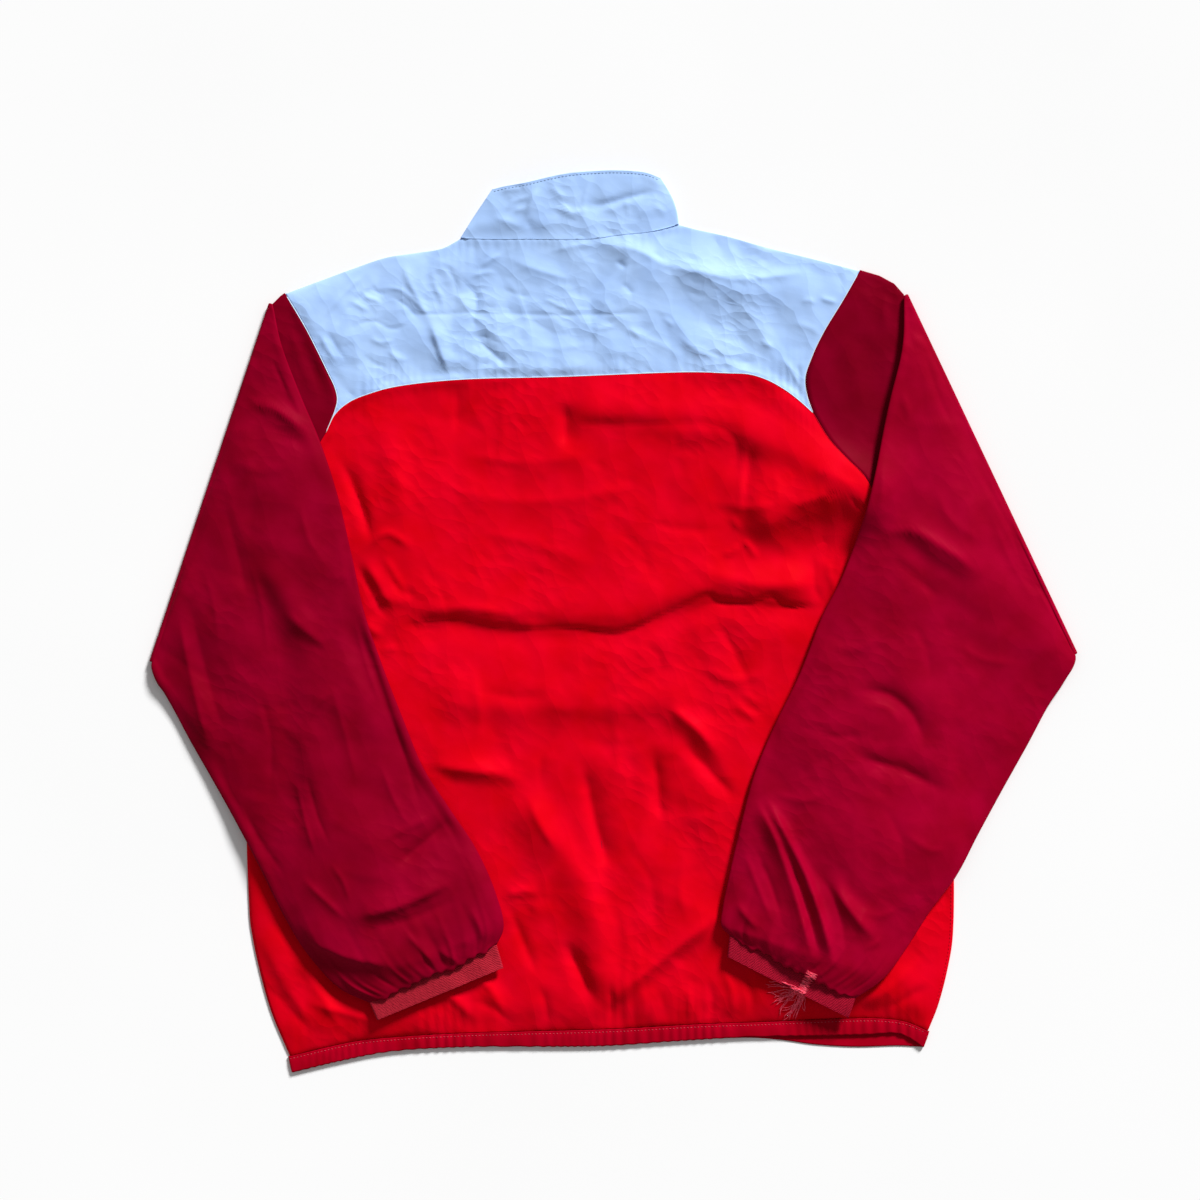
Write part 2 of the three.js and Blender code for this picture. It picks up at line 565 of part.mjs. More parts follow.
// The back's lower panel, gathered a little along its hem
function backBody() {
  const top = [
    ...ARMHOLE_LEFT.slice(ARM_UPPER_STEPS).reverse(),
    ...steps(YOKE_STEPS).slice(1, -1).map(LINE.yoke),
    ...ARMHOLE_RIGHT.slice(ARM_UPPER_STEPS),
  ];
  const bottom = [
    ...steps(ARM_LOWER_STEPS).map((t) => LINE.hemTop(HEM_SIDE_SHARE * t)),
    ...steps(YOKE_STEPS).slice(1, -1).map((t) => LINE.hemTop(mix(HEM_SIDE_SHARE, 1 - HEM_SIDE_SHARE, t))),
    ...steps(ARM_LOWER_STEPS).map((t) => LINE.hemTop(1 - HEM_SIDE_SHARE * (1 - t))),
  ];
  let from = 0;
  const down = [0];
  BACK_STRETCHES.forEach(({ end, rows }) => {
    steps(rows).slice(1).forEach((t) => down.push(mix(from, end, t)));
    from = end;
  });
  const rows = patch(top, bottom, down.map(LINE.sideLeft), down.map(LINE.sideRight), down);
  const gathered = (x, y, i, j) => {
    const wave = 1 + (j % 2 === 0 ? HEM_PUFF_WAVE : -HEM_PUFF_WAVE);
    return backMid(x, y) + wave * hemPuff(x, y);
  };
  return wall(clothOver(rows, gathered), { thickness: CLOTH, upright: true });
}

// The back yoke, from the shoulders and the neck down to its curved seam
function backYoke() {
  const neckStart = 0.3;
  const neckEnd = 0.66;
  const top = steps(YOKE_STEPS).map((u) => {
    if (u < neckStart) return LINE.shoulderLeft(u / neckStart);
    if (u > neckEnd) return LINE.shoulderRight((u - neckEnd) / (1 - neckEnd));
    return LINE.neck((u - neckStart) / (neckEnd - neckStart));
  });
  const bottom = steps(YOKE_STEPS).map(LINE.yoke);
  const left = ARMHOLE_LEFT.slice(0, ARM_UPPER_STEPS + 1);
  const right = ARMHOLE_RIGHT.slice(0, ARM_UPPER_STEPS + 1);
  const rows = patch(top, bottom, left, right);
  return wall(clothOver(rows, backMid), { thickness: CLOTH, upright: true });
}

// One ring of a sleeve: the front side from a to b, round the underarm edge, the back side from
// b to a, and round the overarm edge. place gives the two middles over a point of the chord, and
// runA and runB are the directions of the two edges there.
function sleeveRing(chord, fractions, place, { runA = [0, 0], runB = [0, 0] } = {}) {
  const front = fractions.map((s) => place(chord(s), s, true));
  const back = fractions.map((s) => place(chord(s), s, false)).reverse();
  const cap = (p, q, [from, to], run) => {
    const away = new THREE.Vector3(...difference(chord(from), chord(to)), 0).normalize();
    const across = new THREE.Vector3(-run[1], run[0], 0).normalize();
    if (across.dot(away) < 0) across.negate();
    away.add(across).normalize();
    return p.clone().add(q).multiplyScalar(0.5).addScaledVector(away, p.distanceTo(q) / 2);
  };
  const under = cap(front[front.length - 1], back[0], [fractions[fractions.length - 2], 1], runB);
  const over = cap(back[back.length - 1], front[0], [fractions[1], 0], runA);
  return [...front, under, ...back, over];
}

// A sleeve from its armhole, round its fold and down to its gathered end
function sleeve({ toFold, toCuff }, pivot, armhole, folds) {
  const lengths = armhole.map((p, k) => (k === 0 ? 0 : Math.hypot(...difference(armhole[k - 1], p))));
  const total = lengths.reduce((sum, size) => sum + size, 0);
  let run = 0;
  const fractions = lengths.map((size) => {
    run += size;
    return run / total;
  });
  const rings = [];
  const straight = (a, b) => (s) => mixPoint(a, b, s);
  const armChord = straight(armhole[0], armhole[armhole.length - 1]);

  const column = (s) => fractions.findIndex((f) => Math.abs(f - s) < 1e-9);
  const laid = ([x, y], s, isFront) => (
    new THREE.Vector3(x, y, isFront ? FRONT_MID : Math.max(backMid(x, y), SLEEVE_EDGE)));
  const stages = [...toFold, pivot];
  toFold.forEach(({ a, b, bow }, i) => {
    const bowed = (s) => {
      const k = column(s);
      const base = mixPoint(a, b, s);
      const arm = armChord(s);
      return [base[0] + bow * (armhole[k][0] - arm[0]), base[1] + bow * (armhole[k][1] - arm[1])];
    };
    const last = stages[Math.max(i - 1, 0)];
    const next = stages[i + 1];
    const runs = { runA: difference(last.a, next.a), runB: difference(last.b, next.b) };
    rings.push(sleeveRing(bowed, fractions, laid, runs));
  });

  const pivotChord = straight(pivot.a, pivot.b);
  for (let turn = 0; turn <= FOLD_TURNS; turn += 1) {
    const angle = (Math.PI * turn) / FOLD_TURNS;
    rings.push(sleeveRing(pivotChord, fractions, ([x, y], s, isFront) => {
      const radius = isFront ? FOLD_PIVOT - FRONT_MID : TUCK;
      const out = radius * Math.sin(angle);
      return new THREE.Vector3(
        x + pivot.outward[0] * out,
        y + pivot.outward[1] * out,
        FOLD_PIVOT - radius * Math.cos(angle),
      );
    }));
  }

  const stations = [{ a: pivot.a, b: pivot.b, air: 0, gather: 0, steps: 0 }, ...toCuff];
  const smoothEdge = (key) => new THREE.CatmullRomCurve3(
    stations.map((row) => new THREE.Vector3(...row[key], 0)), false, 'centripetal');
  const edgeA = smoothEdge('a');
  const edgeB = smoothEdge('b');
  for (let row = 1; row < stations.length; row += 1) {
    const from = stations[row - 1];
    const to = stations[row];
    for (let step = 1; step <= to.steps; step += 1) {
      const t = step / to.steps;
      const along = (row - 1 + t) / (stations.length - 1);
      const a = edgeA.getPoint(along);
      const b = edgeB.getPoint(along);
      const runs = along === 1 ? {} : {
        runA: edgeA.getTangent(along).toArray(),
        runB: edgeB.getTangent(along).toArray(),
      };
      const air = mix(from.air, to.air, t);
      const gather = mix(from.gather, to.gather, t);
      const open = SLEEVE_OPEN * smooth((row - 1 + t) / OPEN_STATIONS);
      rings.push(sleeveRing(straight([a.x, a.y], [b.x, b.y]), fractions, ([x, y], s, isFront) => {
        const low = sleeveLow(x, y, pivot);
        if (!isFront) return new THREE.Vector3(x, y, low);
        const crown = (4 * s * (1 - s)) ** CROWN_POWER;
        const wave = gather * (column(s) % 2 === 0 ? 1 : -1) * Math.min(1, crown / GATHER_CROWN);
        const relief = foldSum(x, y, folds) * Math.min(1, crown / FOLD_CROWN) * smooth(air / FOLD_AIR);
        return new THREE.Vector3(x, y, low + SLEEVE_PLY + open + Math.max(air * crown + relief, 0) + wave);
      }, runs));
    }
  }
  return wall(rings, { thickness: CLOTH, closedRing: true, startGap: SEAM_GAP, endGap: SEAM_GAP / 2 });
}

// Elastic cuff: a flat tube in line with the end of its sleeve
function cuff({ toCuff, cuff: end }, pivot) {
  const start = toCuff[toCuff.length - 1];
  const fractions = steps(10);
  const rows = steps(2).map((t) => {
    const a = mixPoint(start.a, end.a, t);
    const b = mixPoint(start.b, end.b, t);
    const chord = (s) => mixPoint(a, b, s);
    return sleeveRing(chord, fractions, ([x, y], s, isFront) => (
      new THREE.Vector3(x, y, sleeveLow(x, y, pivot) + CUFF_LIFT + (isFront ? CUFF_WALL + CUFF_OPEN : 0))));
  });
  return wall(rows, { thickness: CUFF_WALL, closedRing: true, startGap: SEAM_GAP / 2, squareEnd: true });
}

// Where the zip's middle line stands at a height of the picture
const zipX = (y) => {
  const { top, bottom } = ZIP_LINE;
  return mix(bottom[0], top[0], (y - bottom[1]) / (top[1] - bottom[1]));
};

// Share of a line at which it meets another line that runs down the picture, searched by halving
function shareAt(line, x) {
  let low = 0;
  let high = 1;
  for (let i = 0; i < 24; i += 1) {
    const t = (low + high) / 2;
    if (line(t)[0] < x(line(t)[1])) low = t;
    else high = t;
  }
  return (low + high) / 2;
}

// A strip bent round the jacket's two sides: its fronts lie on the surface, its back on them
function bentStrip(options) {
  const { levels, frontPoint, backPoint, frontMid, backHeight } = options;
  const { frontSteps, backSteps, wallSize, gap } = options;
  const rows = levels.map((v) => {
    const zipGap = ZIP_WIDTH / 2 + SEAM_GAP;
    const line = (u) => frontPoint(u, v);
    const front = (u) => {
      const [x, y] = frontPoint(u, v);
      return new THREE.Vector3(x, y, frontMid);
    };
    const leftEnd = shareAt(line, (y) => zipX(y) - zipGap);
    const rightEnd = shareAt(line, (y) => zipX(y) + zipGap);
    const row = steps(frontSteps).map((t) => front(leftEnd * (1 - t)));
    const back = steps(backSteps).map((u, j) => {
      const [x, y] = backPoint(u, v);
      return new THREE.Vector3(x, y, backHeight(x, y, u, v, j));
    });
    const bend = (p, q, sign) => {
      const radius = Math.abs(p.z - q.z) / 2;
      return new THREE.Vector3(mix(p.x, q.x, 0.5) + sign * radius, mix(p.y, q.y, 0.5), mix(p.z, q.z, 0.5));
    };
    row.push(bend(row[frontSteps], back[0], -1), ...back);
    const frontRight = steps(frontSteps).map((t) => front(mix(1, rightEnd, t)));
    row.push(bend(back[backSteps], frontRight[0], 1), ...frontRight);
    return row;
  });
  return wall(rows, { thickness: wallSize, startGap: gap });
}

// Stand collar, pressed flat: its back half on top, its two fronts under it
function collar() {
  const shape = (u, v) => {
    const sides = mixPoint(LINE.collarLeft(v), LINE.collarRight(v), u);
    const rails = mixPoint(LINE.neck(u), LINE.collarTop(u), v);
    const low = mixPoint(LINE.neck(0), LINE.neck(1), u);
    const high = mixPoint(LINE.collarTop(0), LINE.collarTop(1), u);
    const base = mixPoint(low, high, v);
    return [sides[0] + rails[0] - base[0], sides[1] + rails[1] - base[1]];
  };
  const frontPoint = (u, v) => {
    const [x, y] = shape(u, v);
    const rise = COLLAR_FRONT_RISE * Math.min(1, 3 * Math.sin(Math.PI * u));
    return [x, y + rise * v - NECK_DROP * Math.sin(Math.PI * u) * (1 - v)];
  };
  const backHeight = (x, y, u) => {
    const side = 1 - Math.exp(-Math.min(u, 1 - u) * COLLAR_SIDE);
    return COLLAR_EDGE + side * Math.max(COLLAR_LOFT + foldSum(x, y, COLLAR_FOLDS), 0);
  };
  return bentStrip({
    levels: steps(COLLAR_ROWS),
    frontPoint,
    backPoint: shape,
    frontMid: COLLAR_WALL / 2,
    backHeight,
    frontSteps: 5,
    backSteps: COLLAR_COLUMNS,
    wallSize: COLLAR_WALL,
    gap: SEAM_GAP / 2,
  });
}

// Upper edge of the front hem, a band's height above its lower edge
const frontHemTop = (t) => {
  const lower = LINE.frontHemBottom(t);
  const top = LINE.hemTop(t);
  const bottom = LINE.hemBottom(t);
  return [lower[0] + top[0] - bottom[0], lower[1] + top[1] - bottom[1]];
};

// Elastic hem casing, gathered across the back and plain where it lies on the surface
function hemBand() {
  return bentStrip({
    levels: steps(2),
    frontPoint: (u, v) => mixPoint(frontHemTop(u), LINE.frontHemBottom(u), v),
    backPoint: (u, v) => mixPoint(LINE.hemTop(u), LINE.hemBottom(u), v),
    frontMid: BAND_WALL / 2,
    backHeight: (x, y, u, v, j) => {
      const wave = HEM_WAVE * (j % 2 === 0 ? 1 : -1) * (u > 0 && u < 1 ? 1 : 0);
      return HEM_BACK_MID + wave + HEM_ROUND * Math.sin(Math.PI * v);
    },
    frontSteps: 14,
    backSteps: 2 * HEM_GATHERS,
    wallSize: BAND_WALL,
    gap: SEAM_GAP,
  });
}

// A flat panel on the surface, cut to its outline
function flatPanel(outline, thickness = CLOTH) {
  const shape = new THREE.Shape(drawIn(outline, SEAM_GAP / 2).map(([x, y]) => new THREE.Vector2(x, y)));
  return new THREE.ExtrudeGeometry(shape, { depth: thickness, bevelEnabled: false });
}

// Neck seam of the fronts, which drops a little towards the zip
const frontNeck = (u) => {
  const [x, y] = LINE.neck(u);
  return [x, y - NECK_DROP * Math.sin(Math.PI * u)];
};

// Part of a line on one side of the zip, from the left to the right
function besideZip(line, isLeft, count) {
  const end = shareAt(line, (y) => zipX(y) + (isLeft ? -1 : 1) * (ZIP_WIDTH + SEAM_GAP) / 2);
  return steps(count).map((t) => line(isLeft ? end * t : mix(end, 1, t)));
}

function frontYoke(isLeft) {
  const shoulder = steps(8).map(isLeft ? LINE.shoulderLeft : LINE.shoulderRight);
  const neck = besideZip(frontNeck, isLeft, 8);
  const seamLine = besideZip(LINE.yoke, isLeft, 18);
  const arm = (isLeft ? ARMHOLE_LEFT : ARMHOLE_RIGHT).slice(0, ARM_UPPER_STEPS + 1);
  seamLine.reverse();
  const armMiddle = arm.slice(1, -1);
  if (isLeft) return flatPanel([...shoulder.slice(0, -1), ...neck, ...seamLine, ...armMiddle.reverse()]);
  return flatPanel([...neck.slice(0, -1), ...shoulder, ...armMiddle, ...seamLine]);
}

function frontBody(isLeft) {
  const seamLine = besideZip(LINE.yoke, isLeft, 18);
  const hem = besideZip(frontHemTop, isLeft, 14);
  const side = steps(12).map(isLeft ? LINE.sideLeft : LINE.sideRight);
  const arm = (isLeft ? ARMHOLE_LEFT : ARMHOLE_RIGHT).slice(ARM_UPPER_STEPS);
  const armMiddle = arm.slice(1, -1);
  if (isLeft) {
    return flatPanel([...seamLine, ...hem.reverse(), ...side.slice(0, -1).reverse(), ...armMiddle.reverse()]);
  }
  return flatPanel([...seamLine, ...armMiddle, ...side, ...hem.slice(0, -1).reverse()]);
}

// Closed zip between the fronts, from the hem up to the slider
function zipChain() {
  const half = ZIP_WIDTH / 2;
  const topY = ZIP_LINE.top[1] - SLIDER.below - SLIDER.length - SEAM_GAP;
  const bottomY = ZIP_LINE.bottom[1];
  const outline = [
    [zipX(bottomY) - half, bottomY],
    [zipX(bottomY) + half, bottomY],
    [zipX(topY) + half, topY],
    [zipX(topY) - half, topY],
  ];
  const shape = new THREE.Shape(outline.map(([x, y]) => new THREE.Vector2(x, y)));
  return new THREE.ExtrudeGeometry(shape, { depth: ZIP_THICK, bevelEnabled: false });
}

// Slider, drawn up to the collar: a wedge that narrows towards the closed chain
function zipSlider() {
  const topY = ZIP_LINE.top[1] - SLIDER.below;
  const bottomY = topY - SLIDER.length;
  const wide = SLIDER.width / 2;
  const narrow = wide * SLIDER.narrow;
  const nose = wide * SLIDER.nose;
  const outline = [
    [zipX(bottomY) - narrow, bottomY],
    [zipX(bottomY) + narrow, bottomY],
    [zipX(topY) + wide, topY - SLIDER.noseLength],
    [zipX(topY) + nose, topY],
    [zipX(topY) - nose, topY],
    [zipX(topY) - wide, topY - SLIDER.noseLength],
  ];
  const shape = new THREE.Shape(outline.map(([x, y]) => new THREE.Vector2(x, y)));
  return new THREE.ExtrudeGeometry(shape, { depth: SLIDER.thick, bevelEnabled: false });
}

const jacket = new THREE.Group();

function add(name, geometry, finish) {
  const mesh = new THREE.Mesh(geometry, new THREE.MeshStandardMaterial(FINISH[finish]));
  mesh.name = name;
  jacket.add(mesh);
}

add('back_body', backBody(), 'red');
add('back_yoke', backYoke(), 'white');
add('collar', collar(), 'white');
add('sleeve_left', sleeve(SLEEVE_LEFT, PIVOT_LEFT, ARMHOLE_LEFT, SLEEVE_FOLDS_LEFT), 'crimson');
add('sleeve_right', sleeve(SLEEVE_RIGHT, PIVOT_RIGHT, ARMHOLE_RIGHT, SLEEVE_FOLDS_RIGHT), 'crimson');
add('cuff_left', cuff(SLEEVE_LEFT, PIVOT_LEFT), 'rib');
add('cuff_right', cuff(SLEEVE_RIGHT, PIVOT_RIGHT), 'rib');
add('hem_band', hemBand(), 'band');
add('front_left', frontBody(true), 'red');
add('front_right', frontBody(false), 'red');
add('front_yoke_left', frontYoke(true), 'white');
add('front_yoke_right', frontYoke(false), 'white');
add('front_zip', zipChain(), 'tape');
add('zip_slider', zipSlider(), 'slider');

export default jacket;
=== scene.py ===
# Looks of a windbreaker jacket that lies face down with its sleeves folded over its back.
# Places are in millimetres in the part's frame, and turn into metres when a mesh is made.

import math
import random

import bpy
import numpy as np
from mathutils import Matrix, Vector
from mathutils.bvhtree import BVHTree
from mathutils.geometry import delaunay_2d_cdt


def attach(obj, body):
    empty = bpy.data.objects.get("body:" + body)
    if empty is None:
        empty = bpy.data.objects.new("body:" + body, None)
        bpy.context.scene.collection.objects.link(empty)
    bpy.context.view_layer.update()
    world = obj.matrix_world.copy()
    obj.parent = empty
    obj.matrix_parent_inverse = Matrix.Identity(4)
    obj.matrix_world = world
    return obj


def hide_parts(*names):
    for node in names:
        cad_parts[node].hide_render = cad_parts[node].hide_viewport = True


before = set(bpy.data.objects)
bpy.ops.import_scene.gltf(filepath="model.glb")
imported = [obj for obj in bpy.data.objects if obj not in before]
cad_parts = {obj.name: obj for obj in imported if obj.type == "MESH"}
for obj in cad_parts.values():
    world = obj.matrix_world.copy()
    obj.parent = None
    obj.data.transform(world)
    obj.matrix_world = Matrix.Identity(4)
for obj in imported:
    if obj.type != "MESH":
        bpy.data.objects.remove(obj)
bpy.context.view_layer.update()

MM = 0.001


def read_places(text):
    """Places in the plan from words such as 12,-34."""
    return [tuple(map(float, word.split(","))) for word in text.split()]


def read_rows(text):
    """Rows of a table: the places of a path and, after the bar, its sizes."""
    rows = [row.split("|") for row in text.strip().splitlines()]
    return [(read_places(path), *map(float, sizes.split())) for path, sizes in rows]


def read_sections(text):
    """Rows of a table for a sleeve: its overarm edge, its underarm edge and a size."""
    return [(*edges, size) for edges, size in read_rows(text)]


# Layers, as in the part
FRONT_MID = 0.5
BACK_EDGE = 2.0
SLEEVE_PLY = 2.1
SLEEVE_EDGE = FRONT_MID + SLEEVE_PLY
TUCK = 1.2
FOLD_PIVOT = SLEEVE_EDGE + TUCK
SLEEVE_LIFT = FOLD_PIVOT + TUCK - BACK_EDGE
FLOOR_SLEEVE = 0.9
BACK_LOFT = 4.5
BACK_REACH = 34
FOLD_REACH = 13
SLEEVE_SAG = 26
DRAPE_RADIUS = 11
HEM_PUFF = 2.2
HEM_PUFF_REACH = 22
HEM_BACK_MID = 2.75
COLLAR_LOFT = 3.4
COLLAR_SIDE = 14
COLLAR_EDGE = 2.85
COLLAR_FRONT_MID = 0.65
COLLAR_FRONT_RISE = 0.5
NECK_DROP = 14
ZIP_WIDTH = 8
# Reach of an edge's calm strip, where the fine relief dies out
EDGE_CALM = 5

# Thickness of the shells
NYLON = 0.4
BAND = 0.7
ELASTIC = 1.0
COLLAR_CLOTH = 0.7
TAPE_CLOTH = 0.5

# Seams and edges, from the left or from the top
SEAMS = {
    "shoulder_left": "-288,287 -253,300 -226,310 -199,319 -172,323 -150,327 -133,336",
    "neck": "-133,336 -105,335 -74,335 -22,335 9,339 28,341 43,344 56,348",
    "shoulder_right": "56,348 71,344 102,337 133,328 174,318 216,307",
    "arm_upper_left": "-288,287 -269,255 -250,217 -244,204 -242,194 -244,185 -252,165",
    "arm_lower_left": "-252,165 -268,138 -280,115 -293,86 -306,58 -318,30",
    "arm_upper_right": "216,307 201,281 184,253 174,232 168,213 170,196 175,182",
    "arm_lower_right": "175,182 189,159 205,141 218,128 227,113 243,84 256,58 268,30",
    "yoke": "-252,165 -244,181 -231,192 -211,200 -192,205 -141,211 -43,214 "
            "69,218 100,217 119,216 135,211 151,202 164,192 175,182",
    "side_left": "-318,30 -322,-69 -322,-186 -320,-243 -318,-270 -302,-338 -284,-382",
    "side_right": "268,30 284,-69 297,-174 298,-275 294,-302 285,-337 276,-360",
    "hem_top": "-284,-382 -226,-369 -187,-365 -134,-362 3,-358 75,-354 133,-352 "
               "206,-349 235,-349 257,-352 276,-360",
    "hem_bottom": "-281,-396 -239,-386 -197,-378 -134,-374 -9,-373 51,-369 119,-365 "
                  "177,-364 221,-363 250,-362 263,-368 271,-374",
    "front_hem_bottom": "-281,-396 -239,-386 -197,-378 -134,-374 -9,-373 51,-369 119,-366 "
                        "148,-368 177,-372 213,-374 250,-373 271,-374",
    "collar_left": "-133,336 -121,355 -111,370 -105,379",
    "collar_top": "-105,379 -96,381 -78,384 -42,392 -7,395 17,394.5 29,393 40,389",
    "collar_right": "56,348 55,356 53,364 50,372 45,381 40,389",
}
SEAMS = {name: read_places(text) for name, text in SEAMS.items()}
ZIP_TOP = (-37, 392)
ZIP_BOTTOM = (-7, -372)
SLIDER_BELOW = 16
SLIDER_LENGTH = 11

# Sleeve sections up to the fold: overarm edge, underarm edge, share of the armhole's curve
# After the fold: overarm edge, underarm edge, air between the layers at the crown
SLEEVES = {
    "left": {
        "to_fold": read_sections("""
-288,287 -318,30 | 1
-292,284 -348,11 | 0.66
-296,280 -376,-10 | 0.33
"""),
        "fold": ((-303, 278), (-407, -34)),
        "outward": -1,
        "to_cuff": read_sections("""
-292,242 -404,-39 | 3
-275,196 -403,-43 | 4
-259,158 -401,-48 | 5
-244,113 -398,-54 | 6
-231,58 -393,-61 | 6
-220,8 -385,-75 | 6
-204,-39 -369,-105 | 6
-185,-88 -350,-138 | 6
-168,-129 -329,-175 | 6
-147,-162 -308,-214 | 7
-122,-200 -287,-256 | 8
-105,-238 -266,-290 | 9
-98,-268 -239,-319 | 9
-104,-283 -212,-332 | 4
"""),
        "cuff": ((-98, -304), (-205, -348)),
    },
    "right": {
        "to_fold": read_sections("""
216,307 268,30 | 1
233,302 309,8 | 0.7
246,295 359,-9 | 0.33
"""),
        "fold": ((259, 286), (407, -27)),
        "outward": 1,
        "to_cuff": read_sections("""
254,241 404,-32 | 3
242,189 403,-36 | 4
231,135 400,-42 | 5
220,90 396,-48 | 6
203,41 390,-58 | 6
184,3 380,-73 | 6
164,-48 363,-105 | 6
142,-93 340,-146 | 6
124,-137 318,-186 | 6
112,-183 298,-223 | 7
103,-222 276,-252 | 8
97,-251 255,-284 | 9
96,-266 233,-312 | 9
103,-274 210,-328 | 4
"""),
        "cuff": ((101, -294), (204, -346)),
    },
}

# Large folds, as in the part: path | height, half widths to the left and the right of the path
BACK_FOLDS = read_rows("""
-47,186 23,178 112,167 163,145 212,115 | 6 22 14
108,74 147,96 203,113 246,94 | 13 34 18
118,52 165,58 216,72 | -3.5 15 15
-187,8 -143,15 -95,9 -47,8 10,6 48,22 92,34 137,31 186,29 | 2.8 22 9
-190,-11 -142,-3 -97,-12 -36,-12 8,-14 43,0 84,15 138,12 187,8 | -3.2 5 14
-165,-69 -82,-74 6,-73 82,-65 | 4 24 14
-234,146 -224,110 -210,66 | -2.5 6 6
118,158 116,115 112,79 | -2.5 9 7
-42,195 -42,145 | -2.5 10 7
35,-104 38,-148 43,-190 | -2.5 8 8
-27,-115 -15,-181 -1,-232 | -3 9 7
-80,-140 -64,-178 -29,-227 -14,-270 -8,-340 | 6 14 20
-45,-275 -32,-301 -17,-345 | -3.5 8 8
58,-95 86,-132 109,-168 | -2.5 8 10
40,-70 76,-100 102,-124 | 3 10 10
-12,-342 45,-295 100,-252 | 4.5 16 7
-165,-125 -111,-135 -72,-137 | 3 14 7
-222,58 -180,5 | 2.5 7 7
-314,-262 -280,-316 -226,-352 | 3.2 12 22
-194,172 -191,80 | 2 12 12
-20,326 20,323 47,311 93,301 133,299 184,305 | 4 10 24
-184,318 -172,286 -159,262 -150,237 -140,206 | 1.6 10 6
-128,312 -120,286 -121,250 -92,216 | -1.4 8 7
20,274 76,246 126,222 | 1.5 14 12
-262,256 -235,288 -208,314 | -2 8 8
""")
COLLAR_FOLDS = read_rows("""
-44,361 -5,365 16,372 46,380 | -0.9 5 5
-61,388 -72,368 -78,350 | 1.1 6 5
""")
SLEEVE_FOLDS = {
    "left": read_rows("""
-322,194 -292,182 -260,161 | 2.5 9 7
-329,82 -308,18 -287,-38 -283,-113 -276,-190 | -3 16 14
-312,60 -274,1 -250,-22 | 4 13 12
-231,18 -209,-60 -182,-130 | -2 10 10
-235,-261 -183,-247 -139,-220 | 4 13 7
-196,-220 -166,-194 -138,-170 | -2.5 8 9
-383,18 -369,-52 -350,-127 | 2.5 10 10
-280,-258 -235,-290 -180,-300 | 4 14 9
"""),
    "right": read_rows("""
227,76 257,79 328,35 | 3.5 13 9
203,-58 240,-66 261,-82 275,-118 | -2.5 10 10
200,-114 251,-129 298,-152 | -2.5 9 9
313,140 338,71 376,12 | -2 15 15
122,-153 141,-190 157,-234 167,-270 174,-298 | 3.4 5 9
131,-150 150,-186 168,-222 182,-262 192,-303 | 4 5 7
186,-214 200,-240 217,-262 233,-282 | 3.6 6 9
"""),
}

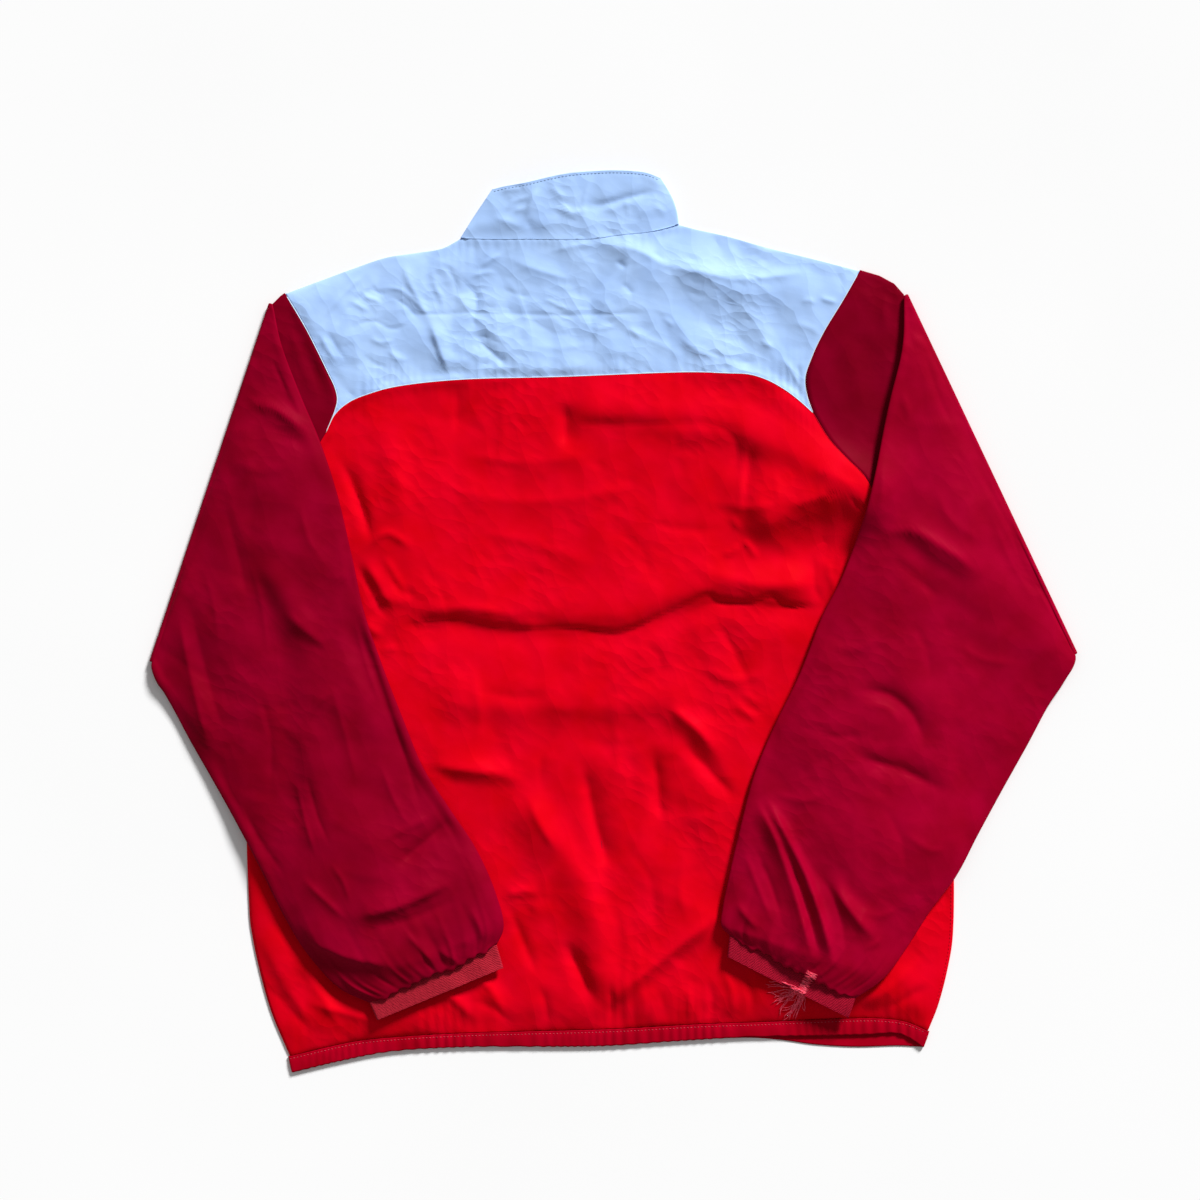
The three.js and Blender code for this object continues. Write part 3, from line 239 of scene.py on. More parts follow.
# Fine creases: path | height, half widths to the left and the right of the path
BACK_CREASES = read_rows("""
-40,172 32,172 100,167 109,148 95,118 | -1.6 9 7
115,161 112,119 109,78 | 1.1 5 3
111,72 118,66 127,53 | 1.3 1.8 2.4
94,58 103,60 111,68 | 1.2 2 2
101,92 106,87 111,78 | 1.0 2 2.5
146,97 176,106 203,114 213,110 | 1.3 7 3
205,113 215,99 226,106 | -1.2 3 3
122,156 118,132 112,108 | -1.0 6 2.5
140,135 142,118 146,99 | 0.8 8 4
176,60 176,44 177,27 187,14 | -1.2 3.5 6
187,58 190,40 196,22 | 0.9 4 4
67,48 118,33 186,32 | 1.6 10 12
79,106 121,99 163,107 | 1.0 6 5
-190,-6 -142,2 -97,-6 -36,-6 8,-9 43,6 67,16 84,23 91,18 123,17 139,22 150,14 187,13 | -1.2 2.0 2.4
-171,8 -133,11 -95,6 -77,-6 | 0.8 4 3
87,10 105,-25 124,-66 | -1.5 8 6
102,-69 115,-80 130,-88 | 1.2 4 3
109,-60 121,-69 137,-74 | 0.9 3 3
-127,-60 -86,-67 -47,-65 | -1.2 8 9
47,-73 67,-88 87,-107 | 1.6 5 4
-240,145 -231,123 -223,106 -217,86 -211,67 | -1.9 3 3
-213,62 -206,73 -198,77 -186,71 -173,61 | 1.2 2.2 2.4
-205,60 -196,48 -186,30 -176,12 | 1.2 2.4 2.4
-218,53 -206,32 -190,6 | 1.2 2.4 3
-229,57 -211,25 -197,-4 | -1.0 3 3
-196,40 -184,26 -170,20 | -0.9 2 2.4
-220,1 -211,-8 -201,-13 | 1.6 6 6
-205,-26 -197,-25 -188,-22 | 0.9 3 3
-213,27 -194,18 -174,15 | 0.8 2.5 3
-139,211 -137,186 -139,163 | -0.9 5 3
-42,189 -42,172 -43,154 | -1.3 5 3
-99,206 -97,167 -101,132 | 0.7 7 4
-143,148 -82,139 -12,145 | 0.8 9 7
-161,123 -99,106 -29,108 23,119 | 0.9 8 10
-12,88 23,64 32,27 | -0.9 6 8
-126,80 -64,66 -12,45 | 0.7 8 6
-77,-150 -66,-175 -47,-206 | 1.2 4 3
-27,-125 -15,-181 -1,-222 | -1.2 3.5 3
-43,-281 -32,-301 -15,-337 | -1.3 4 3
35,-111 39,-148 43,-181 | -1.1 3.5 3
60,-105 83,-130 110,-158 | -1.1 3 4
76,-38 106,-52 137,-45 | 0.9 5 4
46,-74 69,-94 93,-116 | 1.0 3 3
-166,-125 -139,-130 -111,-133 -84,-136 | 1.3 7 2
-5,-334 44,-295 93,-256 | 1.2 3.5 2
-97,-244 -82,-237 -64,-238 | 1.4 3 4
-92,-248 -82,-275 -66,-314 | -1.6 5 4
-163,-310 -139,-332 -117,-354 | 1.8 6 4
-143,-292 -112,-318 -91,-351 | 1.6 5 5
-126,-332 -106,-340 -85,-358 | -1.2 4 4
-65,-318 -59,-336 -57,-358 | -1.4 4 4
-4,-314 -1,-336 -3,-356 | -1.1 3 3
25,-318 28,-336 27,-355 | 1.1 3.5 3
41,-323 44,-340 43,-354 | -0.9 3 3
65,-318 67,-336 65,-353 | 1.0 3 3
83,-314 87,-333 85,-352 | -1.0 3 3
95,-301 104,-327 105,-351 | 1.3 3 3
113,-297 121,-323 121,-349 | -1.1 3 4
-313,-270 -292,-310 -274,-340 -259,-367 | 1.1 6 5
-308,-314 -283,-342 -255,-370 | -0.9 5 4
-287,-288 -259,-323 -235,-363 | 1.2 4 4
-274,-332 -239,-342 -196,-354 | 1.3 5 4
216,-340 246,-318 273,-292 | 1.6 6 5
238,-342 255,-332 277,-318 | -1.2 4 4
226,-332 251,-297 281,-248 | 1.2 5 4
-3,-69 4,-122 -12,-157 | 0.7 7 5
6,-192 32,-227 36,-279 | -0.9 7 6
-47,-87 -64,-122 -60,-157 | -0.8 6 6
-126,-34 -117,-87 -126,-122 | 0.8 6 6
67,-192 58,-235 67,-270 | 0.9 6 5
23,-17 41,-34 32,-60 | -0.7 6 5
-47,-209 -64,-235 -71,-270 | 0.9 5 6
6,-244 13,-288 7,-323 | 1.0 6 5
191,-17 172,-60 154,-104 | 0.9 5 5
196,53 189,27 182,-8 | -0.9 4 5
174,132 198,123 217,113 | 1.0 4 4
-169,53 -152,27 -145,4 | -0.6 4 4
23,88 67,80 102,80 | -0.8 5 6
""")
YOKE_CREASES = read_rows("""
-184,318 -180,299 -171,282 -160,262 | 0.9 3 2.2
-161,264 -154,242 -147,224 -142,213 | 1.3 6.5 2.0
-206,293 -186,290 -173,279 -162,266 | 0.9 2.5 2.2
-196,286 -182,276 -169,262 | -0.7 2 2
-140,305 -127,294 -120,285 -122,266 -122,252 | -1.0 2.2 4.5
-122,252 -114,242 -99,228 -90,218 | -0.9 3.5 2
-150,316 -140,300 -136,284 | -0.8 2.2 2.2
-160,300 -152,286 -148,268 | 0.7 2.2 2.2
-118,309 -109,316 -98,322 | 0.9 2 2
-128,300 -112,306 -100,304 | 0.7 2 2
-95,319 -74,310 -48,302 -30,298 | 0.9 6 4
-64,283 -50,277 -36,272 | 0.7 2 2.5
-100,292 -84,286 -70,284 | -0.5 3 2
-10,330 20,325 47,311 93,303 | 0.9 3 4
56,313 104,299 133,301 174,307 | 0.9 4 4
-187,268 -117,270 -47,268 41,270 | -0.5 1.8 1.8
-60,322 -34,329 0,332 | 0.7 2.5 3
2,316 7,312 12,308 | -0.9 1.8 1.8
7,296 12,291 18,284 | -0.9 2.4 1.8
34,324 40,319 45,315 | -0.8 2 2
12,257 18,253 25,248 | 0.8 2 2
42,267 48,262 54,257 | 0.8 2 2
55,253 63,244 73,237 94,229 | 0.9 4 2.5
-30,262 -10,256 8,262 | 0.5 2 2
60,290 82,284 110,288 | -0.4 6 5
-259,261 -235,288 -212,312 | 0.9 3 3
-248,253 -231,276 -204,298 | -0.7 3 3
-259,254 -251,240 -241,223 | 0.9 2 2
-252,256 -243,240 -233,226 | -0.7 2 2
180,284 188,281 198,279 | 0.9 2 2
164,278 170,281 178,278 | 0.7 1.8 1.8
128,247 134,243 141,238 | 0.7 2 2
146,232 152,226 160,212 166,200 | 0.8 2.4 2
160,226 164,216 168,204 | -0.7 2 2
-222,290 -216,284 -208,281 -203,276 | 1.0 2 1.8
-214,294 -206,288 -198,286 | -0.8 1.8 1.8
-232,281 -222,276 -212,270 | 0.8 2 2
-235,255 -211,263 -194,256 -171,265 | -0.6 2.4 2.4
-216,250 -204,244 -190,247 | 0.7 2 2
-200,240 -190,231 -178,228 | 0.7 2.5 2
-222,236 -210,226 -196,221 | -0.5 3 3
-99,307 -82,281 -73,246 | 0.5 4 4
6,255 41,242 67,227 | 0.5 4 3
76,237 102,230 128,223 | -0.5 4 3
154,263 176,255 189,242 | 0.6 4 3
189,314 200,297 203,276 | -0.6 3 3
-82,242 -47,239 -12,244 | 0.5 6 4
-274,281 -255,297 -229,309 | -0.6 3 4
-161,314 -155,290 -152,276 | 0.5 3 3
""")
COLLAR_CREASES = read_rows("""
-65,381 -71,369 -77,353 | 0.8 2.2 2.4
-77,353 -73,345 -68,337 | -0.7 2.5 2.5
-56,367 -46,362 -38,359 -28,359 -21,363 | 0.7 1.8 2.2
-46,364 -38,356 -30,352 | 0.6 1.6 1.8
-88,359 -82,360 -75,363 | 0.6 1.8 1.8
-21,363 -6,366 8,370 40,378 | -0.7 1.8 2.2
-18,359 4,363 24,370 | 0.4 2.5 3
-19,390 -26,368 -26,347 | 0.45 2.2 1.6
11,372 12,362 14,351 | 0.4 2 1.8
21,349 30,364 39,375 | 0.5 2.2 2
-6,347 -4,343 -2,337 | -0.4 1.8 1.8
-99,376 -90,378 -80,377 | 0.5 1.8 1.8
-95,377 -89,368 -95,358 | 0.4 2.5 2.5
-108,355 -91,349 -73,340 | 0.5 2.5 2
-92,366 -80,370 -70,372 | 0.5 1.8 1.8
32,368 41,361 48,354 | 0.4 2.5 2.5
-58,382 -48,374 -40,368 | 0.5 2 2
""")
LEFT_CREASES = read_rows("""
-327,191 -300,187 -282,176 -261,161 | 1.6 3 2.5
-301,264 -291,236 -279,203 -264,168 | 1.2 1.8 2.6
-300,232 -292,214 -284,196 | -0.9 2.4 2
-308,172 -287,162 -264,153 | -1.0 4 4
-346,164 -327,165 -308,168 | 0.8 3 3
-290,10 -269,-8 -247,-24 | 1.4 6 5
-249,34 -239,38 -228,40 | 0.7 2.5 2.5
-224,18 -209,-34 -187,-104 -167,-168 | -1.2 5 5
-229,8 -217,-34 -200,-82 | 0.9 4 3
-278,-136 -270,-170 -258,-210 | 0.9 3 3
-269,-130 -259,-167 -245,-200 | -0.8 3 3
-274,-222 -252,-242 -229,-263 | 1.2 3 4
-381,10 -369,-52 -352,-119 | 0.8 4 3
-371,18 -357,-43 -339,-104 | -0.6 5 5
-229,-259 -183,-247 -134,-225 | 1.5 6 2.5
-222,-270 -178,-260 -133,-240 | -1.3 5 5
-191,-214 -166,-194 -141,-172 | -1.2 3 4
-204,-192 -176,-179 -152,-167 | 0.9 4 3
-278,-272 -235,-292 -183,-301 | 1.6 5 4
-183,-268 -169,-284 -154,-301 | 1.4 3.5 3
-154,-286 -143,-293 -132,-300 | 1.2 3 3
-126,-248 -117,-266 -113,-281 | 1.1 3.5 3.5
-318,53 -308,18 -301,-34 | 0.8 5 5
-341,106 -327,53 -318,10 | -0.7 5 5
-309,-60 -299,-104 -301,-157 | -0.9 5 6
-248,-52 -235,-95 -222,-148 | 0.7 4 5
-204,-122 -191,-157 -176,-183 | 0.8 4 4
-301,237 -285,204 -266,171 | 0.8 3 3
-340,141 -309,132 -274,136 | 0.7 4 4
-274,106 -266,71 -248,45 | 0.7 4 4
-327,-157 -308,-193 -283,-227 | -0.8 4 4
-248,-209 -235,-227 -229,-248 | 0.8 3 3
-362,53 -350,18 -344,-25 | 0.6 5 4
-266,-87 -255,-69 -239,-60 | 0.7 3 3
""")
RIGHT_CREASES = read_rows("""
259,249 270,243 282,237 | 1.0 2.5 3
278,227 289,220 301,213 | 0.8 2.5 2.5
250,203 255,189 260,174 | 0.8 2.5 2.5
249,173 286,172 322,173 | 0.5 3 3
231,74 257,79 290,62 322,39 | 1.3 3 2.5
240,57 261,40 287,18 | -0.9 4 4
207,-60 240,-64 261,-82 274,-116 | -1.0 3.5 3
216,-73 238,-76 252,-92 | 0.7 3 3
205,-116 251,-130 292,-150 | -0.9 3 3
131,-152 150,-186 168,-222 182,-262 192,-303 | 1.9 1.8 4
122,-153 141,-190 157,-234 167,-270 174,-298 | 1.7 1.8 4
190,-226 200,-243 216,-264 232,-281 | 1.5 2 4
150,-196 164,-236 176,-276 181,-298 | -1.3 2.5 2.5
121,-192 138,-232 150,-272 | -1.1 3 4
112,-196 126,-232 140,-266 | 0.9 2 3
172,-209 195,-248 203,-297 | -1.1 4 4
218,-286 226,-282 235,-277 | 0.9 2.5 2.5
106,-244 115,-257 128,-270 | 1.3 4 3
325,106 347,53 373,10 | 0.6 6 6
277,123 294,88 329,66 | 0.6 5 5
181,-17 207,-25 233,-17 | 0.7 4 4
163,-87 189,-100 224,-100 | -0.7 4 4
251,-183 277,-200 294,-197 | 0.7 4 4
233,-157 251,-192 255,-227 | -0.6 5 5
294,-17 325,-34 356,-38 | 0.6 5 5
259,1 273,-25 277,-60 | -0.6 4 4
224,150 233,123 231,88 | 0.6 4 4
137,-148 163,-157 189,-148 | 0.8 4 4
268,246 286,193 303,158 | -0.6 4 4
207,-248 233,-257 252,-248 | 0.7 3 3
""")
SHOULDER_CREASES = read_rows("""
238,290 238,270 238,249 | 0.9 3 3
217,290 223,284 226,276 | 0.8 2.5 2.5
207,255 224,237 233,202 | -0.8 4 4
196,263 207,228 217,176 | 0.7 4 4
-287,263 -274,228 -259,193 | 0.7 3 3
-274,246 -259,211 -248,176 | -0.6 3 3
""")


# Curves
def spline(points, per=24):
    """A centripetal Catmull-Rom curve through its points, with per places in each stretch."""
    p = np.array(points, float)
    p = np.vstack([2 * p[0] - p[1], p, 2 * p[-1] - p[-2]])
    t = np.linspace(0, 1, per, endpoint=False)[:, None]
    out = []
    for p0, p1, p2, p3 in zip(p[:-3], p[1:-2], p[2:-1], p[3:]):
        d0, d1, d2 = (max(np.linalg.norm(b - a), 1e-4) ** 0.5 for a, b in ((p0, p1), (p1, p2), (p2, p3)))
        t1 = ((p1 - p0) / d0 - (p2 - p0) / (d0 + d1) + (p2 - p1) / d1) * d1
        t2 = ((p2 - p1) / d1 - (p3 - p1) / (d1 + d2) + (p3 - p2) / d2) * d1
        square, cube = -3 * p1 + 3 * p2 - 2 * t1 - t2, 2 * p1 - 2 * p2 + t1 + t2
        out.append(p1 + t1 * t + square * t**2 + cube * t**3)
    out.append(p[-2][None])
    return np.vstack(out)


def along(line, shares):
    """Places at shares of a line's length."""
    run = np.r_[0, np.cumsum(np.linalg.norm(np.diff(line, axis=0), axis=1))]
    at = np.asarray(shares) * run[-1]
    return np.stack([np.interp(at, run, column) for column in line.T], -1)


def smooth(t):
    t = np.clip(t, 0, 1)
    return t * t * (3 - 2 * t)


def mix(a, b, t):
    return a + (b - a) * t


def rise(distance, reach):
    """Grows from 0 at an edge towards 1 inside it."""
    return 1 - np.exp(-np.maximum(distance, 0) / reach)


def to_segment(x, y, a, b):
    """For places, the share along a segment of its nearest place, and the offset from there."""
    ex, ey = b[0] - a[0], b[1] - a[1]
    t = np.clip(((x - a[0]) * ex + (y - a[1]) * ey) / max(ex * ex + ey * ey, 1e-9), 0, 1)
    return t, x - a[0] - ex * t, y - a[1] - ey * t


LINE = {name: spline(points) for name, points in SEAMS.items()}
ARMHOLE = {
    "left": np.vstack([LINE["arm_upper_left"], LINE["arm_lower_left"][1:]]),
    "right": np.vstack([LINE["arm_upper_right"], LINE["arm_lower_right"][1:]]),
}


def pivot_line(sleeve):
    a, b = (np.array(p, float) for p in sleeve["fold"])
    dx, dy = (b - a) / np.linalg.norm(b - a)
    outward = sleeve["outward"] * np.array([-dy, dx])
    return a - outward * FOLD_PIVOT, b - outward * FOLD_PIVOT, outward


PIVOT = {side: pivot_line(sleeve) for side, sleeve in SLEEVES.items()}


def laid_outline():
    """Outline of what lies under the turned sleeves."""
    left, right = SLEEVES["left"], SLEEVES["right"]
    step = 12
    rows = [
        *(LINE[name][::step] for name in ("shoulder_left", "collar_left", "collar_top")),
        LINE["collar_right"][::-step],
        LINE["shoulder_right"][::step],
        [row[0] for row in right["to_fold"][1:]],
        PIVOT["right"][:2],
        [row[1] for row in right["to_fold"]][::-1],
        LINE["side_right"][::step],
        *(LINE[name][::-step] for name in ("hem_top", "side_left")),
        [row[1] for row in left["to_fold"][1:]],
        PIVOT["left"][1::-1],
        [row[0] for row in left["to_fold"][1:]][::-1],
    ]
    return np.vstack([np.array(row, float) for row in rows])


OUTLINE = laid_outline()


def inset(x, y):
    """Distance from the laid outline, positive inside."""
    nearest = np.full(x.shape, np.inf)
    inside = np.zeros(x.shape, bool)
    for a, b in zip(OUTLINE, np.roll(OUTLINE, -1, axis=0)):
        _, dx, dy = to_segment(x, y, a, b)
        nearest = np.minimum(nearest, np.hypot(dx, dy))
        if b[1] != a[1]:
            inside ^= ((a[1] > y) != (b[1] > y)) & (x < (b[0] - a[0]) * (y - a[1]) / (b[1] - a[1]) + a[0])
    return np.where(inside, nearest, -nearest)


def crease(x, y, path, high, left, right, crest=2.0):
    """Height of one fold at places. crest is 2 for a round crest and nearer 1 for a sharp one."""
    best = np.full(x.shape, np.inf)
    where = np.zeros(x.shape)
    side = np.ones(x.shape)
    run = 0.0
    for a, b in zip(path[:-1], path[1:]):
        ex, ey = b[0] - a[0], b[1] - a[1]
        size = math.hypot(ex, ey)
        t, dx, dy = to_segment(x, y, a, b)
        distance = np.hypot(dx, dy)
        near = distance < best
        best = np.where(near, distance, best)
        where = np.where(near, run + size * t, where)
        side = np.where(near, ex * dy - ey * dx, side)
        run += size
    fade = min(run * 0.35, 34)
    ends = smooth(where / fade) * smooth((run - where) / fade)
    return high * ends * np.exp(-((best / np.where(side > 0, left, right)) ** crest))


def folds(x, y, rows):
    return sum((crease(x, y, *row) for row in rows), np.zeros(x.shape))


# A raster of heights over the whole plan, for the fine relief
RASTER_STEP = 1.6
RASTER_X = np.arange(-432, 433, RASTER_STEP)
RASTER_Y = np.arange(-424, 425, RASTER_STEP)
PLAN_X, PLAN_Y = np.meshgrid(RASTER_X, RASTER_Y)


def between(grid, u, v, ease):
    """Values of a grid at column u and row v, eased from each value to the next."""
    i, j = u.astype(int), v.astype(int)
    s, t = ease(u - i), ease(v - j)
    return mix(mix(grid[j, i], grid[j, i + 1], s), mix(grid[j + 1, i], grid[j + 1, i + 1], s), t)


def read(raster, x, y):
    """Heights of a raster at places."""
    u = np.clip((x - RASTER_X[0]) / RASTER_STEP, 0, len(RASTER_X) - 1.001)
    v = np.clip((y - RASTER_Y[0]) / RASTER_STEP, 0, len(RASTER_Y) - 1.001)
    return between(raster, u, v, lambda share: share)


def soften(raster, radius):
    """Blurs a raster with a small bell of that radius."""
    reach = np.arange(-int(3 * radius / RASTER_STEP) - 1, int(3 * radius / RASTER_STEP) + 2)
    bell = np.exp(-((reach * RASTER_STEP / radius) ** 2))
    bell /= bell.sum()
    for _ in range(2):
        padded = np.pad(raster, [(len(reach) // 2,) * 2, (0, 0)], mode="edge")
        raster = sum(w * padded[k:k + len(raster)] for k, w in enumerate(bell)).T
    return raster


def stroke(raster, path, high, left, right):
    """Adds a fine crease to a raster, in the part of it that the crease reaches."""
    line = spline(path, 5)
    reach = 4 * max(left, right)
    x0, y0 = line.min(0) - reach
    x1, y1 = line.max(0) + reach
    part = slice(*np.searchsorted(RASTER_Y, (y0, y1))), slice(*np.searchsorted(RASTER_X, (x0, x1)))
    raster[part] += crease(PLAN_X[part], PLAN_Y[part], line, high, left, right, crest=1.15)


def crumple(size, height, seed, stretch, angle):
    """Flat facets between random corners: size is their spacing, stretch draws them out along angle."""
    rng = np.random.RandomState(seed)
    cos, sin = math.cos(math.radians(angle)), math.sin(math.radians(angle))
    span = 640
    u, v = np.meshgrid(np.arange(-span, span, size * stretch), np.arange(-span, span, size))
    u = (u + rng.uniform(-0.45, 0.45, u.shape) * size * stretch).ravel()
    v = (v + rng.uniform(-0.45, 0.45, v.shape) * size).ravel()
    x, y = u * cos - v * sin, u * sin + v * cos
    heights = rng.normal(0, height, x.shape)
    margin = 2 * size * stretch
    keep = (np.abs(x) < RASTER_X[-1] + margin) & (np.abs(y) < RASTER_Y[-1] + margin)
    corners = [Vector(place) for place in zip(x[keep], y[keep])]
    places, _, faces, origin, _, _ = delaunay_2d_cdt(corners, [], [], 0, 1e-6)
    level = [heights[keep][found[0]] if found else 0.0 for found in origin]
    out = np.zeros(PLAN_X.shape)
    for face in faces:
        (ax, ay), (bx, by), (cx, cy) = (places[k] for k in face)
        za, zb, zc = (level[k] for k in face)
        area = (bx - ax) * (cy - ay) - (cx - ax) * (by - ay)
        columns = slice(*np.searchsorted(RASTER_X, (min(ax, bx, cx), max(ax, bx, cx))))
        rows = slice(*np.searchsorted(RASTER_Y, (min(ay, by, cy), max(ay, by, cy))))
        px, py = PLAN_X[rows, columns], PLAN_Y[rows, columns]
        if abs(area) < 1e-6 or not px.size:
            continue
        wb = ((px - ax) * (cy - ay) - (cx - ax) * (py - ay)) / area
        wc = ((bx - ax) * (py - ay) - (px - ax) * (by - ay)) / area
        inside = (wb >= -1e-9) & (wc >= -1e-9) & (wb + wc <= 1 + 1e-9)
        out[rows, columns][inside] = (mix(za, zb, wb) + wc * (zc - za))[inside]
    return out


def patches(size, seed):
    """Soft random patches from 0 to 1, for where the cloth is more or less crumpled."""
    count = [int(len(axis) * RASTER_STEP / size) + 3 for axis in (RASTER_Y, RASTER_X)]
    lattice = np.random.RandomState(seed).uniform(0, 1, count)
    return between(lattice, (PLAN_X - RASTER_X[0]) / size, (PLAN_Y - RASTER_Y[0]) / size, smooth)


def relief(creases, seed, angle, strength, fine=1.0, blur=1.5, line=1.9):
    """Fine relief of one part: facets of three sizes, and its creases at a height of line times theirs."""
    raster = crumple(44, 1.9 * strength, seed, stretch=1.7, angle=angle)
    medium = crumple(19, 0.8 * strength * fine, seed + 1, stretch=1.5, angle=angle + 50)
    raster += medium * (0.2 + patches(90, seed + 5))
    small = crumple(9, 0.34 * strength * fine, seed + 2, stretch=1.6, angle=angle - 30)
    raster += small * patches(60, seed + 6) ** 2 * 1.8
    raster = soften(raster, blur)
    for path, high, left, right in creases:
        stroke(raster, path, line * high, left, right)
    return soften(raster, 0.7)


BACK_RELIEF = relief(BACK_CREASES, seed=11, angle=20, strength=1.0, fine=0.6)
YOKE_RELIEF = relief(YOKE_CREASES, seed=23, angle=65, strength=0.74, fine=1.1, blur=0.9, line=1.55)
COLLAR_RELIEF = relief(COLLAR_CREASES, seed=31, angle=80, strength=0.45, fine=1.1, blur=0.9)
SLEEVE_RELIEF = {
    "left": relief(LEFT_CREASES, seed=43, angle=-70, strength=0.8, fine=0.6),
    "right": relief(RIGHT_CREASES, seed=57, angle=65, strength=0.8, fine=0.5),
}
SHOULDER_RELIEF = relief(SHOULDER_CREASES, seed=71, angle=90, strength=0.6)


# Surfaces
def hem_y(x):
    return np.interp(x, *np.array(SEAMS["hem_top"]).T)


def hem_phase(x):
    """Count of the gathers along the hem, which are uneven."""
    return x / 9.3 + 1.1 * np.sin(x / 37) + 0.8 * np.sin(x / 17 + 2)


def gathers(x, y):
    """Cloth that stands up above the elastic hem, in folds of uneven length."""
    d = y - hem_y(x)
    puff = HEM_PUFF * np.exp(-((d / HEM_PUFF_REACH - 1) ** 2))
    length = 17 + 9 * np.sin(x / 23 + 1) + 8 * np.sin(x / 9.1)
    fold = np.cos(2 * math.pi * hem_phase(x) + 0.02 * d) * np.exp(-np.maximum(d, 0) / np.maximum(length, 5))
    size = 0.55 + 0.3 * np.sin(x / 31) + 0.2 * np.sin(x / 13 + 1)
    return (puff + fold * size) * rise(inset(x, y), 8)


def back_mid(x, y, fine):
    """Height of the laid back, with its large folds and a raster of fine relief."""
    d = inset(x, y)
    loft = BACK_LOFT * rise(d, BACK_REACH)
    large = folds(x, y, BACK_FOLDS) * rise(d, FOLD_REACH)
    return BACK_EDGE + np.maximum(loft + large, 0.25 * loft) + read(fine, x, y) * rise(d, EDGE_CALM)


def low_raster():
    """Height that a turned sleeve rests on, over the whole plan, without its lift."""
    d = inset(PLAN_X, PLAN_Y)
    on_back = back_mid(PLAN_X, PLAN_Y, soften(BACK_RELIEF, 5))
    on_back += 1.6 * np.maximum(gathers(PLAN_X, PLAN_Y), 0)
    drop = SLEEVE_LIFT - FLOOR_SLEEVE
    off = (BACK_EDGE + drop) * np.exp(np.minimum(d, 0) / SLEEVE_SAG) - drop
    top = np.where(d >= 0, on_back, off)
    best = top.copy()
    for angle in np.arange(12) * math.pi / 6:
        x = PLAN_X + DRAPE_RADIUS * math.cos(angle)
        y = PLAN_Y + DRAPE_RADIUS * math.sin(angle)
        best = np.maximum(best, read(top, x, y))
    return soften(best, 5)


LOW = low_raster()
FLAT = np.zeros(PLAN_X.shape)


def sleeve_low(x, y, side):
    """Height of a turned sleeve's under layer."""
    a, _, outward = PIVOT[side]
    away = (a[0] - x) * outward[0] + (a[1] - y) * outward[1]
    return mix(BACK_EDGE, read(LOW, x, y), rise(away, 9)) + SLEEVE_LIFT


# Meshes
def mesh_object(name, vertices, faces, smooth_shaded=True):
    mesh = bpy.data.meshes.new(name)
    mesh.from_pydata((np.asarray(vertices) * MM).tolist(), [], [tuple(f) for f in faces])
    mesh.validate()
    mesh.polygons.foreach_set("use_smooth", [smooth_shaded] * len(mesh.polygons))
    piece = bpy.data.objects.new(name, mesh)
    bpy.context.collection.objects.link(piece)
    return piece


def grid_faces(rows, columns, closed=False):
    ids = np.arange(rows * columns).reshape(rows, columns)
    if closed:
        ids = np.hstack([ids, ids[:, :1]])
    return np.stack([ids[:-1, :-1], ids[:-1, 1:], ids[1:, 1:], ids[1:, :-1]], -1).reshape(-1, 4)


def shell(name, points, thickness, closed=False, flat_map=None, painted_light_levels=None):
    """A sheet of cloth from a grid of places, given its thickness."""
    rows, columns = points.shape[:2]
    faces = grid_faces(rows, columns, closed)
    piece = mesh_object(name, points.reshape(-1, 3), faces)
    # Painted light and shade, when given: a level per row of the grid, kept on the points to scale the
    # colour
    if painted_light_levels is not None:
        painted_light_level = piece.data.attributes.new("painted_light_level", "FLOAT", "POINT")
        painted_light_level.data.foreach_set("value", np.repeat(painted_light_levels, columns))
    if flat_map is not None:
        layer = piece.data.uv_layers.new(name="cloth")
        corners = np.zeros(len(piece.data.loops), int)
        piece.data.loops.foreach_get("vertex_index", corners)
        layer.data.foreach_set("uv", flat_map.reshape(-1, 2)[corners].ravel())
    solid = piece.modifiers.new("thickness", "SOLIDIFY")
    solid.thickness = thickness * MM
    solid.offset = 0
    return piece


def graded(count, close=3, first=0.25):
    """Shares from 0 to 1 with closer steps at both ends."""
    steps = np.ones(count)
    for k in range(close):
        steps[k] = steps[-1 - k] = first + (1 - first) * k / close
    return np.r_[0, np.cumsum(steps)] / steps.sum()


def panel(top, bottom, left, right):
    """Plan of a grid between four lines: top and bottom by columns, left and right by rows."""
    u = np.linspace(0, 1, len(top))[None, :, None]
    run = np.r_[0, np.cumsum(np.linalg.norm(np.diff(left, axis=0), axis=1))]
    v = (run / run[-1])[:, None, None]
    ruled = mix(top[None], bottom[None], v) + mix(left[:, None], right[:, None], u)
    corners = mix(mix(top[0], top[-1], u), mix(bottom[0], bottom[-1], u), v)
    return np.moveaxis(ruled - corners, -1, 0)


def pucker(x, distance, high, seed):
    """Short folds that run away from a seam."""
    shift = np.random.RandomState(seed).uniform(0, 6, 3)
    step = x / PUCKER_PITCH
    phase = step + 0.9 * np.sin(step / 3.1 + shift[0]) + 0.7 * np.sin(step / 1.7 + shift[1])
    length = PUCKER_REACH * (1 + 0.6 * np.sin(step / 2.3 + shift[2]))
    return high * np.cos(2 * math.pi * phase) * np.exp(-distance / length) * (1 - np.exp(-distance / 1.5))


# Back panels
PUCKER_SEAM = 0.3
PUCKER_ARM = 0.06
PUCKER_PITCH = 8.5
PUCKER_REACH = 9
ARM_SHARE = 0.12
NECK_START, NECK_END = 0.3, 0.66


def distance_to(line, x, y):
    best = np.full(x.shape, np.inf)
    points = line[::6]
    for a, b in zip(points[:-1], points[1:]):
        _, dx, dy = to_segment(x, y, a, b)
        best = np.minimum(best, np.hypot(dx, dy))
    return best


def calm(distance, reach=5.0):
    """Share of the fine relief that is left beside a seam, where the pieces have to meet."""
    return 1 - np.exp(-((distance / reach) ** 2))


def dip(distance, deep=0.1, wide=1.6):
    return -deep * np.exp(-((distance / wide) ** 2))


